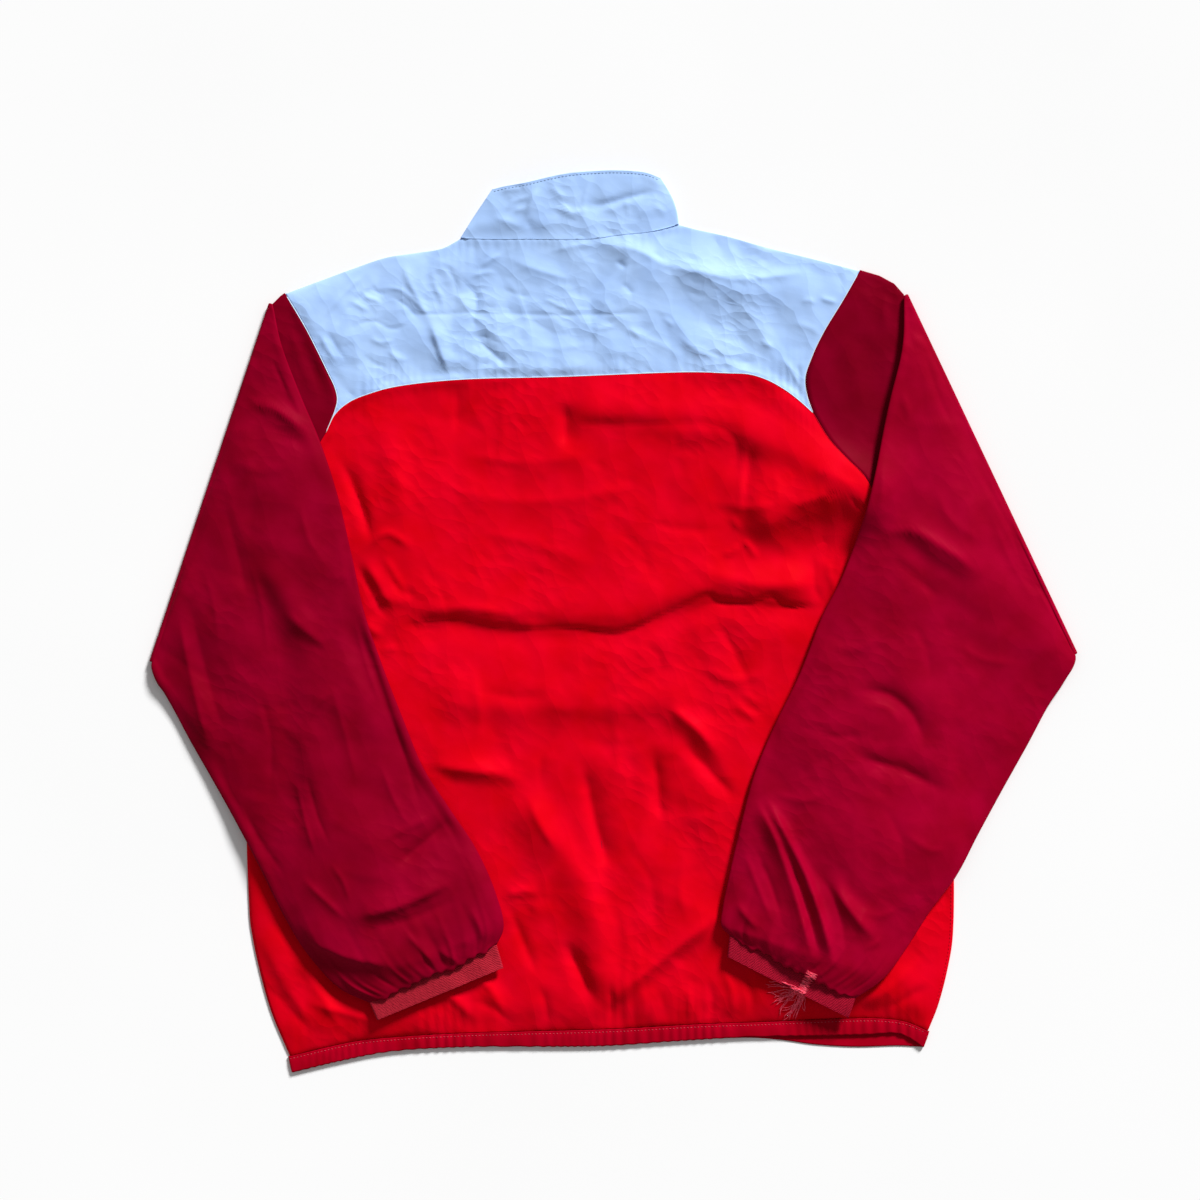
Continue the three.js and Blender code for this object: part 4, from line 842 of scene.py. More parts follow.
def edge_roll(x, y):
    """The cloth turns down where it folds round a side or a shoulder."""
    return -0.5 * (1 - rise(inset(x, y), 1.1))


def back_surface(x, y, fine, seams):
    """Height of the laid back with its fine relief, calm at its seams."""
    quiet = np.ones(x.shape)
    extra = np.zeros(x.shape)
    for k, (name, run) in enumerate(seams):
        distance = distance_to(LINE[name], x, y)
        quiet *= calm(distance)
        high = PUCKER_ARM if name.startswith("arm") else PUCKER_SEAM
        extra += dip(distance) + pucker(run, distance, high, 90 + k)
    relief_here = read(fine, x, y) * quiet * rise(inset(x, y), EDGE_CALM)
    return back_mid(x, y, FLAT) + relief_here + extra + edge_roll(x, y)


def back_body():
    arm = np.linspace(0, 1, 29)
    across = np.linspace(0, 1, 180)[1:-1]
    top = np.vstack([
        along(LINE["arm_lower_left"][::-1], arm),
        along(LINE["yoke"], across),
        along(LINE["arm_lower_right"], arm),
    ])
    shares = np.r_[ARM_SHARE * arm, mix(ARM_SHARE, 1 - ARM_SHARE, across), 1 - ARM_SHARE * (1 - arm)]
    sides = (along(LINE[name], graded(203)) for name in ("side_left", "side_right"))
    x, y = panel(top, along(LINE["hem_top"], shares), *sides)
    z = back_surface(x, y, BACK_RELIEF, [("yoke", x), ("arm_lower_left", y), ("arm_lower_right", y)])
    z = z + gathers(x, y) + dip(np.abs(y - hem_y(x)), 0.5, 2.2)
    return shell("back_body_cloth", np.stack([x, y, z], -1), NYLON)


def back_yoke():
    shares = np.linspace(0, 1, 290)
    first = shares < NECK_START
    last = shares > NECK_END
    middle = ~first & ~last
    top = np.vstack([
        along(LINE["shoulder_left"], shares[first] / NECK_START),
        along(LINE["neck"], (shares[middle] - NECK_START) / (NECK_END - NECK_START)),
        along(LINE["shoulder_right"], (shares[last] - NECK_END) / (1 - NECK_END)),
    ])
    sides = (along(LINE[name], graded(90)) for name in ("arm_upper_left", "arm_upper_right"))
    x, y = panel(top, along(LINE["yoke"], shares), *sides)
    seams = [("yoke", x), ("arm_upper_left", y), ("arm_upper_right", y), ("neck", x)]
    z = back_surface(x, y, YOKE_RELIEF, seams)
    return shell("back_yoke_cloth", np.stack([x, y, z], -1), NYLON)


# Strips that are bent round the jacket's two sides
def zip_x(y):
    return mix(ZIP_BOTTOM[0], ZIP_TOP[0], (y - ZIP_BOTTOM[1]) / (ZIP_TOP[1] - ZIP_BOTTOM[1]))


def share_at(place, offset):
    """Share across at which a line of the front meets the zip's edge."""
    low, high = 0.0, 1.0
    for _ in range(24):
        middle = (low + high) / 2
        x, y = place(np.array([middle]))[0]
        if x < zip_x(y) + offset:
            low = middle
        else:
            high = middle
    return (low + high) / 2


def half_turn(start, end, away, count):
    """Places of a half circle from start to end that bulges along away."""
    angles = (np.pi * np.arange(1, count + 1) / (count + 1))[:, None]
    centre = (start + end) / 2
    radius = np.linalg.norm(end - start) / 2
    return centre + np.cos(angles) * (start - centre) + np.sin(angles) * radius * away


def bent_strip(name, levels, front_place, front_z, back_place, back_z, front_count, back_count, thickness):
    rows = []
    for v in levels:
        left = share_at(lambda u: front_place(u, v), -ZIP_WIDTH / 2)
        right = share_at(lambda u: front_place(u, v), ZIP_WIDTH / 2)
        u_left = np.linspace(left, 0, front_count)
        u_right = np.linspace(1, right, front_count)
        u_back = np.linspace(0, 1, back_count)
        flat_left = np.c_[front_place(u_left, v), front_z(u_left, v)]
        flat_right = np.c_[front_place(u_right, v), front_z(u_right, v)]
        plan = back_place(u_back, v)
        back = np.c_[plan, back_z(plan[:, 0], plan[:, 1], u_back, v)]
        rows.append(np.vstack([
            flat_left,
            half_turn(flat_left[-1], back[0], np.array([-1.0, 0, 0]), 4),
            back,
            half_turn(back[-1], flat_right[0], np.array([1.0, 0, 0]), 4),
            flat_right,
        ]))
    return shell(name, np.array(rows), thickness)


def collar_place(u, v):
    side = mix(along(LINE["collar_left"], [v])[0], along(LINE["collar_right"], [v])[0], u[:, None])
    rail = mix(along(LINE["neck"], u), along(LINE["collar_top"], u), v)
    low = mix(LINE["neck"][0], LINE["neck"][-1], u[:, None])
    high = mix(LINE["collar_top"][0], LINE["collar_top"][-1], u[:, None])
    return side + rail - mix(low, high, v)


def collar():
    def front_place(u, v):
        place = collar_place(u, v)
        rise = COLLAR_FRONT_RISE * np.minimum(1, 3 * np.sin(np.pi * u))
        place[:, 1] += rise * v - NECK_DROP * np.sin(np.pi * u) * (1 - v)
        return place

    def back_z(x, y, u, v):
        side = 1 - np.exp(-np.minimum(u, 1 - u) * COLLAR_SIDE)
        lift = np.maximum(COLLAR_LOFT + folds(x, y, COLLAR_FOLDS), 0)
        fine = read(COLLAR_RELIEF, x, y) * np.minimum(1, 12 * np.minimum(u, 1 - u)) * min(1, 5 * v)
        from_neck = v * 50.0
        from_top = (1 - v) * 50.0
        seam = dip(from_neck, 0.1, 1.6) + dip(np.abs(from_top - 2.0) * np.ones(x.shape), 0.25, 0.8)
        laid = COLLAR_EDGE + side * lift + fine + seam
        at_yoke = np.maximum(back_mid(x, y, FLAT), COLLAR_EDGE)
        return mix(at_yoke, laid, smooth(np.array(from_neck / 16)))

    levels = graded(30, 4, 0.3)
    return bent_strip(
        "collar_cloth", levels, front_place, lambda u, v: np.full(u.shape, COLLAR_FRONT_MID),
        collar_place, back_z, front_count=16, back_count=100, thickness=COLLAR_CLOTH,
    )


def hem_band():
    def front_place(u, v):
        lower = along(LINE["front_hem_bottom"], u)
        band = along(LINE["hem_top"], u) - along(LINE["hem_bottom"], u)
        return lower + band * (1 - v)

    def back_z(x, y, u, v):
        wave = np.cos(2 * np.pi * hem_phase(x))
        sharp = np.sign(wave) * np.abs(wave) ** 0.7
        size = 0.42 + 0.16 * np.sin(x / 31) + 0.12 * np.sin(x / 13 + 1)
        ends = np.minimum(1, 30 * np.minimum(u, 1 - u))
        channel = 0.35 * np.sin(math.pi * v) - 0.3 * math.exp(-((v - 0.12) / 0.05) ** 2)
        return HEM_BACK_MID + ends * sharp * size * (0.75 + 0.25 * math.sin(math.pi * v)) + channel

    def front_z(u, v):
        return np.full(u.shape, BAND / 2 + 0.15)

    def back_place(u, v):
        place = mix(along(LINE["hem_top"], u), along(LINE["hem_bottom"], u), v)
        wobble = 0.35 * np.cos(2 * np.pi * hem_phase(place[:, 0]))
        place[:, 1] += wobble * v * np.minimum(1, 30 * np.minimum(u, 1 - u))
        return place

    return bent_strip(
        "hem_band_cloth", np.r_[0, 0.06, 0.12, 0.18, 0.3, 0.45, 0.6, 0.75, 0.9, 1.0],
        front_place, front_z, back_place, back_z, front_count=50, back_count=340, thickness=BAND,
    )


# Sleeves and cuffs
FRONT_COLUMNS = 130
BACK_COLUMNS = 68
BEND_COLUMNS = 4
RING_STEP = 2.45
SHOULDER_RINGS = 24
TURN_STEPS = 10
CUFF_FOLDS = 15
CUFF_PLY = 2.8
# Painted light and shade: a factor on each sleeve's colour before and after its fold, matched to the photo's
# light
PAINTED_LIGHT_BY_SLEEVE = {"left": (0.8, 0.94), "right": (0.78, 1.2)}


def unit(vector):
    return vector / max(np.linalg.norm(vector), 1e-9)


def away_from(chord, run):
    """Direction in which a tube's edge bulges: out along the chord and square to the edge's run."""
    out = unit(chord)
    across = np.array([-run[1], run[0]])
    if across @ out < 0:
        across = -across
    return np.append(unit(out + unit(across)), 0.0)


def tube_ring(front, back, run_a, run_b):
    out_b = away_from(front[-1, :2] - front[-2, :2], run_b)
    out_a = away_from(front[0, :2] - front[1, :2], run_a)
    return np.vstack([
        front,
        half_turn(front[-1], back[0], out_b, BEND_COLUMNS),
        back,
        half_turn(back[-1], front[0], out_a, BEND_COLUMNS),
    ])


def cuff_gathers(side):
    """Gathered folds that run up the sleeve from the cuff, uneven in width, height and length."""
    rng = random.Random({"left": 5, "right": 8}[side])
    rows = []
    for k in range(CUFF_FOLDS):
        rows.append({
            "share": (k + 0.5 + rng.uniform(-0.35, 0.35)) / CUFF_FOLDS,
            "wide": rng.uniform(0.013, 0.026),
            "high": rng.choice((1, 1, -1)) * rng.uniform(0.9, 2.2),
            "reach": rng.choice((14, 20, 30, 52)) * rng.uniform(0.8, 1.3),
            "drift": rng.uniform(-0.06, 0.06),
        })
    return rows


def gather_height(share, distance, rows):
    total = np.zeros(share.shape)
    for row in rows:
        where = row["share"] + row["drift"] * distance / 100
        high = row["high"] * math.exp(-distance / row["reach"])
        total += high * np.exp(-(((share - where) / row["wide"]) ** 2))
    return total * rise(distance, 4)


def sleeve(side):
    table = SLEEVES[side]
    pivot_a, pivot_b, outward = PIVOT[side]
    arm = ARMHOLE[side]
    shoulder_painted_light, sleeve_painted_light = PAINTED_LIGHT_BY_SLEEVE[side]
    front_share = np.linspace(0, 1, FRONT_COLUMNS)
    back_share = np.linspace(1, 0, BACK_COLUMNS)
    rings = []

    # From the armhole to the fold
    edge_a, edge_b, bows = (np.array(part) for part in zip(*table["to_fold"], (pivot_a, pivot_b, 0)))
    last = len(bows) - 1
    for t in np.linspace(0, last, SHOULDER_RINGS, endpoint=False):
        k = min(int(t), last - 1)
        a, b = mix(edge_a[k], edge_a[k + 1], t - k), mix(edge_b[k], edge_b[k + 1], t - k)
        bow = mix(bows[k], bows[k + 1], t - k)

        def chord(share):
            share = share[:, None]
            return mix(a, b, share) + bow * (along(arm, share[:, 0]) - mix(arm[0], arm[-1], share))

        under, over = chord(front_share), chord(back_share)
        x, y = over[:, 0], over[:, 1]
        distance = distance_to(arm, x, y)
        fine = read(SHOULDER_RELIEF, x, y) * calm(distance) * rise(inset(x, y), EDGE_CALM)
        level = np.maximum(back_mid(x, y, FLAT) + fine, SLEEVE_EDGE) + dip(distance)
        run_a, run_b = edge_a[k + 1] - edge_a[k], edge_b[k + 1] - edge_b[k]
        rings.append(tube_ring(
            np.c_[under, np.full(FRONT_COLUMNS, FRONT_MID)], np.c_[over, level], run_a, run_b,
        ))

    # Round the fold
    before_fold = len(rings)
    for turn in range(TURN_STEPS + 1):
        angle = math.pi * turn / TURN_STEPS

        def turned(share, radius):
            place = mix(pivot_a, pivot_b, share[:, None]) + outward * radius * math.sin(angle)
            return np.c_[place, np.full(len(share), FOLD_PIVOT - radius * math.cos(angle))]

        rings.append(tube_ring(
            turned(front_share, FOLD_PIVOT - FRONT_MID), turned(back_share, TUCK), outward, outward,
        ))

    # From the fold to the cuff
    per = 24
    line_a = spline([pivot_a] + [row[0] for row in table["to_cuff"]], per)
    line_b = spline([pivot_b] + [row[1] for row in table["to_cuff"]], per)
    middle = (line_a + line_b) / 2
    run = np.r_[0, np.cumsum(np.linalg.norm(np.diff(middle, axis=0), axis=1))]
    airs = [0] + [row[2] for row in table["to_cuff"]]
    gathered = cuff_gathers(side)
    count = int(run[-1] / RING_STEP)
    for place in np.linspace(0, run[-1], count + 1)[1:]:
        at = np.interp(place, run, np.arange(len(run)))
        k = min(int(at), len(run) - 2)
        a, b = mix(line_a[k], line_a[k + 1], at - k), mix(line_b[k], line_b[k + 1], at - k)
        station = at / per
        air = np.interp(station, range(len(airs)), airs)
        loose = 1.5 * smooth(station / 4)
        over = mix(a, b, front_share[:, None])
        under = mix(a, b, back_share[:, None])
        x, y = over[:, 0], over[:, 1]
        crown = (4 * front_share * (1 - front_share)) ** 0.7
        large = folds(x, y, SLEEVE_FOLDS[side]) * np.minimum(1, 3 * crown) * smooth(air / 2)
        edge = smooth(np.minimum(front_share, 1 - front_share) * np.linalg.norm(b - a) / 9)
        fine = read(SLEEVE_RELIEF[side], x, y) * edge * rise(place, 6)
        distance = run[-1] - place
        gather = gather_height(front_share, distance, gathered) * edge
        low = sleeve_low(x, y, side)
        level = low + SLEEVE_PLY + loose + np.maximum(air * crown + large, 0) + fine + gather
        level = np.maximum(level, low + 1.2)
        rings.append(tube_ring(
            np.c_[over, level],
            np.c_[under, sleeve_low(under[:, 0], under[:, 1], side)],
            line_a[k + 1] - line_a[k],
            line_b[k + 1] - line_b[k],
        ))

    # The gathered end puffs over the cuff and turns back to its seam
    end_a, end_b = (np.array(p, float) for p in table["cuff"])
    ahead = unit((end_a + end_b - line_a[-1] - line_b[-1]) / 2)
    body = rings[-1]
    columns = slice(0, FRONT_COLUMNS)
    rng = np.random.RandomState({"left": 3, "right": 6}[side])
    knots = rng.uniform(0.5, 5.0, 14)
    reach = np.interp(front_share, np.linspace(0, 1, len(knots)), knots) + 1.2 * np.cos(front_share * 71)
    reach = np.maximum(reach, 0.4) * smooth(np.minimum(front_share, 1 - front_share) * 10)
    cuff_top = sleeve_low(body[columns, 0], body[columns, 1], side) + CUFF_PLY + ELASTIC / 2
    for push, drop in ((0.5, 0.06), (0.85, 0.22), (1.0, 0.48), (0.85, 0.78), (0.4, 1.0)):
        ring = body.copy()
        ring[columns, :2] += ahead * (push * reach)[:, None]
        ring[columns, 2] = mix(body[columns, 2], np.minimum(cuff_top, body[columns, 2]), drop)
        rings.append(ring)
    # Painted light and shade: rows before the fold take the shoulder's factor, the rest take the sleeve's
    painted_light_levels = np.full(len(rings), sleeve_painted_light)
    painted_light_levels[:before_fold] = shoulder_painted_light
    painted_light_levels[before_fold:before_fold + TURN_STEPS] = np.linspace(shoulder_painted_light, sleeve_painted_light, TURN_STEPS)
    return shell(f"sleeve_{side}_cloth", np.array(rings), NYLON, closed=True, painted_light_levels=painted_light_levels)


def cuff(side):
    """The elastic, a flat tube with fine ribs. Its first rows lie inside the sleeve's end."""
    start_a, start_b = (np.array(p) for p in SLEEVES[side]["to_cuff"][-1][:2])
    end_a, end_b = (np.array(p, float) for p in SLEEVES[side]["cuff"])
    front_share = np.linspace(0, 1, 110)
    back_share = np.linspace(1, 0, 50)
    across = np.r_[front_share, np.full(BEND_COLUMNS, 1), back_share, np.full(BEND_COLUMNS, 0)]
    rows, flat = [], []
    for v in np.linspace(-0.12, 1, 44):
        a, b = mix(start_a, end_a, v), mix(start_b, end_b, v)
        over, under = (mix(a, b, share[:, None]) for share in (front_share, back_share))
        rib = 0.1 * np.cos(2 * np.pi * (v * 15 + 0.3 * np.abs((front_share * 36) % 2 - 1)))
        soft = 0.5 * np.sin(front_share * 7 + 1) * np.sin(np.pi * front_share) * (0.4 + 0.6 * max(v, 0))
        top = sleeve_low(*over.T, side) + CUFF_PLY + rib + soft
        low = sleeve_low(*under.T, side) + 0.4
        rows.append(tube_ring(np.c_[over, top], np.c_[under, low], end_a - start_a, end_b - start_b))
        flat.append(np.c_[across, np.full(len(across), v)])
    return shell(f"cuff_{side}_elastic", np.array(rows), ELASTIC, closed=True, flat_map=np.array(flat))


# Fronts, flat on the surface
def front_panel(name, top, bottom, left, right, fine, rows):
    down = np.linspace(0, 1, rows)
    x, y = panel(top, bottom, along(left, down), along(right, down))
    z = FRONT_MID + np.clip(0.35 * read(fine, -x, y), -0.25, 0.3)
    return shell(name, np.stack([x, y, z], -1), NYLON)


def beside_zip(line, is_left, count):
    end = share_at(lambda u: along(line, u), (-1 if is_left else 1) * ZIP_WIDTH / 2)
    return along(line, np.linspace(0, end, count) if is_left else np.linspace(end, 1, count))


def front_hem_top():
    u = np.linspace(0, 1, 120)
    return along(LINE["front_hem_bottom"], u) + along(LINE["hem_top"], u) - along(LINE["hem_bottom"], u)


def front_neck():
    u = np.linspace(0, 1, 80)
    line = along(LINE["neck"], u)
    line[:, 1] -= NECK_DROP * np.sin(np.pi * u)
    return line


def fronts():
    pieces = []
    for side in ("left", "right"):
        is_left = side == "left"
        step = 1 if is_left else -1
        inner = -1 if is_left else 0
        arm = along(LINE[f"arm_lower_{side}"], np.linspace(0, 1, 20))[::-step]
        shoulder = along(LINE[f"shoulder_{side}"], np.linspace(0, 1, 30))
        seam = beside_zip(LINE["yoke"], is_left, 50)
        neck = beside_zip(front_neck(), is_left, 22)
        for name, top_edges, low, outer, fine, rows in (
            ("front", (arm, seam), front_hem_top(), "side", BACK_RELIEF, 90),
            ("front_yoke", (shoulder, neck), LINE["yoke"], "arm_upper", YOKE_RELIEF, 40),
        ):
            first, second = top_edges[::step]
            top = np.vstack([first, second[1:]])
            bottom = beside_zip(low, is_left, len(top))
            edges = (LINE[f"{outer}_{side}"], np.vstack([top[inner], bottom[inner]]))
            pieces.append(front_panel(f"{name}_{side}_cloth", top, bottom, *edges[::step], fine, rows))
    return pieces


# Zip: two tapes and two rows of teeth
TOOTH_PITCH = 2.6
TOOTH_SIZE = (2.4, 1.0, 1.0)


def teeth(places, turns):
    """Corners and faces of small boxes, each narrower at the end that meets the other row."""
    corner = np.array([(x, y, z) for x in (-0.5, 0.5) for y in (-0.5, 0.5) for z in (-0.5, 0.5)])
    face = np.array([(0, 1, 3, 2), (4, 6, 7, 5), (0, 4, 5, 1), (2, 3, 7, 6), (0, 2, 6, 4), (1, 5, 7, 3)])
    x, y, z = (corner * TOOTH_SIZE).T
    y = y * np.where(x > 0, 0.6, 1.0)
    vertices = []
    for place, turn in zip(places, turns):
        cos, sin = math.cos(turn), math.sin(turn)
        vertices.append(np.c_[x * cos - y * sin, x * sin + y * cos, z] + place)
    return np.vstack(vertices), np.vstack([face + len(corner) * k for k in range(len(places))])


def zip_pieces():
    low, high = np.array(ZIP_BOTTOM, float), np.array(ZIP_TOP, float)
    length = np.linalg.norm(high - low)
    up = (high - low) / length
    across = np.array([up[1], -up[0]])
    closed = length - SLIDER_BELOW - SLIDER_LENGTH
    places, turns = [], []
    for k in range(int(closed / TOOTH_PITCH)):
        for side, shift in ((-1, 0.5), (1, 1.0)):
            places.append(np.append(low + up * (k + shift) * TOOTH_PITCH + across * side * 0.55, 0.55))
            turns.append(math.atan2(-side * across[1], -side * across[0]))
    chain = mesh_object("zip_teeth", *teeth(places, turns), smooth_shaded=False)
    tapes = []
    steps = np.linspace(0, closed, 160)[:, None]
    for side, name in ((-1, "left"), (1, "right")):
        rows = []
        for share in np.linspace(0, 1, 6):
            place = low + up * steps + across * side * mix(0.9, ZIP_WIDTH / 2, share)
            rows.append(np.c_[place, np.full(len(steps), 0.62 + 0.05 * math.sin(share * 9))])
        tapes.append(shell(f"zip_tape_{name}", np.array(rows), TAPE_CLOTH))
    return chain, tapes


# Sewing
def probe(pieces):
    """Height of the highest cloth at a place."""
    graph = bpy.context.evaluated_depsgraph_get()
    trees = [BVHTree.FromObject(piece, graph) for piece in pieces]

    def height(x, y):
        hits = [tree.ray_cast(Vector((x * MM, y * MM, 0.2)), Vector((0, 0, -1)))[0] for tree in trees]
        found = [hit.z / MM for hit in hits if hit is not None]
        return max(found) if found else None

    return height


def tube_mesh(lines, radius, sides=5):
    """Corners and faces of round threads along lines of places, thinner at both ends."""
    vertices, faces = [], []
    base = 0
    for line in lines:
        line = np.asarray(line, float)
        tangent = np.gradient(line, axis=0)
        tangent /= np.maximum(np.linalg.norm(tangent, axis=1, keepdims=True), 1e-9)
        reference = np.where(np.abs(tangent[:, 2:3]) < 0.9, [[0, 0, 1.0]], [[1.0, 0, 0]])
        first = np.cross(tangent, reference)
        first /= np.linalg.norm(first, axis=1, keepdims=True)
        second = np.cross(tangent, first)
        size = np.full((len(line), 1, 1), float(radius))
        size[[0, -1]] *= 0.45
        angles = 2 * np.pi * np.arange(sides) / sides
        angles = angles[None, :, None]
        ring = np.cos(angles) * first[:, None] + np.sin(angles) * second[:, None]
        vertices.append((line[:, None] + ring * size).reshape(-1, 3))
        faces.extend((grid_faces(len(line), sides, True) + base).tolist())
        faces.append((base + np.arange(sides))[::-1].tolist())
        faces.append((base + (len(line) - 1) * sides + np.arange(sides)).tolist())
        base += len(line) * sides
    return np.vstack(vertices), faces


def stitches(name, line, pieces, thread, pitch, size, radius):
    """A row of short stitches along a line of the plan, on the highest of some pieces."""
    height = probe(pieces)
    length = np.linalg.norm(np.diff(line, axis=0), axis=1).sum()
    rows = []
    for k in range(int(length / pitch)):
        shares = (np.array([0.0, 0.3, 0.7, 1.0]) * size + k * pitch) / length
        places = along(line, shares)
        levels = [height(x, y) for x, y in places]
        if None in levels or max(levels) - min(levels) > 2:
            continue
        bow = np.array([-0.05, radius + 0.05, radius + 0.05, -0.05])
        rows.append(np.c_[places, np.array(levels) + bow])
    return dress(mesh_object(name, *tube_mesh(rows, radius)), thread)


def roll(name, line, pieces, thread, radius, lift=0.0):
    """A thin rolled edge of cloth along a seam, on the highest of some pieces."""
    height = probe(pieces)
    count = int(np.linalg.norm(np.diff(line, axis=0), axis=1).sum() / 2)
    places = along(line, np.linspace(0, 1, count))
    found = [(k, height(x, y)) for k, (x, y) in enumerate(places)]
    found = [(k, z) for k, z in found if z is not None]
    levels = np.interp(np.arange(count), [k for k, _ in found], [z for _, z in found])
    levels = np.convolve(np.pad(levels, 1, mode="edge"), np.ones(3) / 3, mode="valid")
    return dress(mesh_object(name, *tube_mesh([np.c_[places, levels + lift]], radius, 6)), thread)


# The cuff's darned place and its loose ends
DARN_TOP = np.array([172.8, -306.5])
DARN_END = np.array([163.5, -324.5])
DARN_WIDE = 11.0
LOOSE_ENDS = [
    # where each thread ends, seen from above
    (134, -322), (139, -331), (146, -345), (150, -350), (152, -349), (153, -366), (147, -319), (144, -338),
    (158, -336), (163, -338), (141, -326), (156, -343), (150, -329), (137, -318), (160, -331), (149, -334),
]


def darning(pieces):
    height = probe(pieces)
    rng = random.Random(21)
    down = unit(DARN_END - DARN_TOP)
    across = np.array([down[1], -down[0]])
    span = np.linalg.norm(DARN_END - DARN_TOP)
    shares = np.linspace(-0.5, 0.5, 7)
    lines = []
    for k in range(46):
        middle = DARN_TOP + down * span * (k + rng.uniform(-0.5, 0.5)) / 45
        wide = DARN_WIDE * mix(1.0, 0.75, k / 45) * rng.uniform(0.75, 1.05)
        tilt = rng.uniform(-0.25, 0.3)
        direction = unit(across + down * tilt)
        bend = rng.uniform(-0.5, 0.5)
        places = [middle + direction * wide * t + down * bend * (1 - 4 * t * t) for t in shares]
        level = [height(*p) for p in places]
        if None in level:
            continue
        lift = [0.1 + 0.5 * (1 - 4 * t * t) * rng.uniform(0.7, 1.2) for t in shares]
        lines.append(np.c_[places, np.array(level) + lift])
    for x, y in LOOSE_ENDS:
        for _ in range(3):
            start = DARN_END + across * rng.uniform(-4.5, 4.5) - down * rng.uniform(0, 3)
            end = np.array([x + rng.uniform(-5, 5), y + rng.uniform(-5, 5)])
            side = np.array([-(end - start)[1], (end - start)[0]])
            curl = rng.uniform(-0.14, 0.14)
            wave = rng.uniform(0.01, 0.04)
            turns = rng.uniform(1.5, 3.5)
            places, level = [], []
            for t in np.linspace(0, 1, 15):
                sway = curl * 4 * t * (1 - t) + wave * t * math.sin(turns * 2 * math.pi * t)
                place = mix(start, end, t) + side * sway
                z = height(*place)
                if z is None:
                    break
                places.append(place)
                level.append(z + 0.35 + rng.uniform(0, 0.25) + 1.1 * math.sin(math.pi * min(1, 1.6 * t)))
            if len(places) > 4:
                level = np.convolve(np.pad(level, 2, mode="edge"), np.ones(5) / 5, mode="valid")
                lines.append(np.c_[places, level])
    return dress(mesh_object("cuff_right_threads", *tube_mesh(lines, 0.3)), ROSY_THREAD_PAINTED_LIGHT)


# Materials
class Paint:
    """A procedural material, with short calls for its nodes."""

    def __init__(self, name, roughness, specular, metallic=0.0):
        self.material = bpy.data.materials.new(name)
        self.material.use_nodes = True
        self.tree = self.material.node_tree
        self.surface = self.tree.nodes["Principled BSDF"]
        constants = {"Roughness": roughness, "Specular IOR Level": specular, "Metallic": metallic}
        self.feed(self.surface, constants)
        self.place = self.node("TexCoord").outputs["Object"]

    def feed(self, node, inputs):
        """Sets inputs of a node to values, or links them to outputs of other nodes."""
        for key, value in inputs.items():
            if isinstance(value, bpy.types.NodeSocket):
                self.tree.links.new(value, node.inputs[key])
            else:
                node.inputs[key].default_value = value

    def node(self, kind, inputs=None, **settings):
        node = self.tree.nodes.new("ShaderNode" + kind)
        for key, value in settings.items():
            setattr(node, key, value)
        self.feed(node, inputs or {})
        return node

    def finish(self, colour, normal):
        self.feed(self.surface, {"Base Color": colour, "Normal": normal})
        return self.material

    def calc(self, operation, first, second):
        return self.node("Math", {0: first, 1: second}, operation=operation).outputs[0]

    def noise(self, scale, detail, stretch=(1, 1, 1)):
        place = self.place
        if stretch != (1, 1, 1):
            place = self.node("Mapping", {"Vector": place, "Scale": stretch}).outputs["Vector"]
        return self.node("TexNoise", {"Vector": place, "Scale": scale, "Detail": detail}).outputs["Fac"]

    def ramp(self, value, low, high, dark, light):
        node = self.node("ValToRGB", {"Fac": value})
        for end, position, colour in zip(node.color_ramp.elements, (low, high), (dark, light)):
            end.position = position
            end.color = (*colour, 1)
        return node.outputs["Color"]

    def bump(self, value, distance, before=None):
        inputs = {"Strength": 1.0, "Distance": distance, "Height": value}
        if before is not None:
            inputs["Normal"] = before
        return self.node("Bump", inputs).outputs["Normal"]

    def facets(self, scale, stretch, angle):
        """Creased facets: cones that meet in crisp crooked lines, drawn out along an angle."""
        wander = self.node("TexNoise", {"Vector": self.place, "Scale": scale * 0.5, "Detail": 2})
        shifts = {0: wander.outputs["Color"], 1: (0.9 / scale,) * 3, 2: self.place}
        shifted = self.node("VectorMath", shifts, operation="MULTIPLY_ADD").outputs[0]
        turn = {"Vector": shifted, "Rotation": (0, 0, math.radians(angle)), "Scale": (stretch, 1, 1)}
        turned = self.node("Mapping", turn, vector_type="TEXTURE").outputs["Vector"]
        return self.node("TexVoronoi", {"Vector": turned, "Scale": scale}).outputs["Distance"]


def nylon(name, dark, light, angle, crinkle, specular, painted_light_on=False):
    """Thin crinkled nylon: blotchy colour, crisp creases of two sizes in patches, and a fine weave."""
    paint = Paint(name, 0.5, specular)
    colour = paint.ramp(paint.noise(30, 4), 0.3, 0.7, dark, light)
    # Painted light and shade: the colour is scaled by the painted level on each point
    if painted_light_on:
        painted_light_level = paint.node("Attribute", attribute_name="painted_light_level").outputs["Fac"]
        colour = paint.node("VectorMath", {0: colour, "Scale": painted_light_level}, operation="SCALE").outputs[0]
    patch = paint.ramp(paint.noise(14, 1), 0.45, 0.68, (0.1, 0.1, 0.1), (1, 1, 1))
    close = paint.calc("MULTIPLY", paint.facets(105, 2.0, angle + 35), patch)
    normal = paint.bump(paint.facets(34, 2.4, angle), 0.0019 * crinkle)
    normal = paint.bump(close, 0.0012 * crinkle, normal)
    normal = paint.bump(paint.noise(2400, 1, (1, 0.4, 1)), 0.00003, normal)
    return paint.finish(colour, normal)


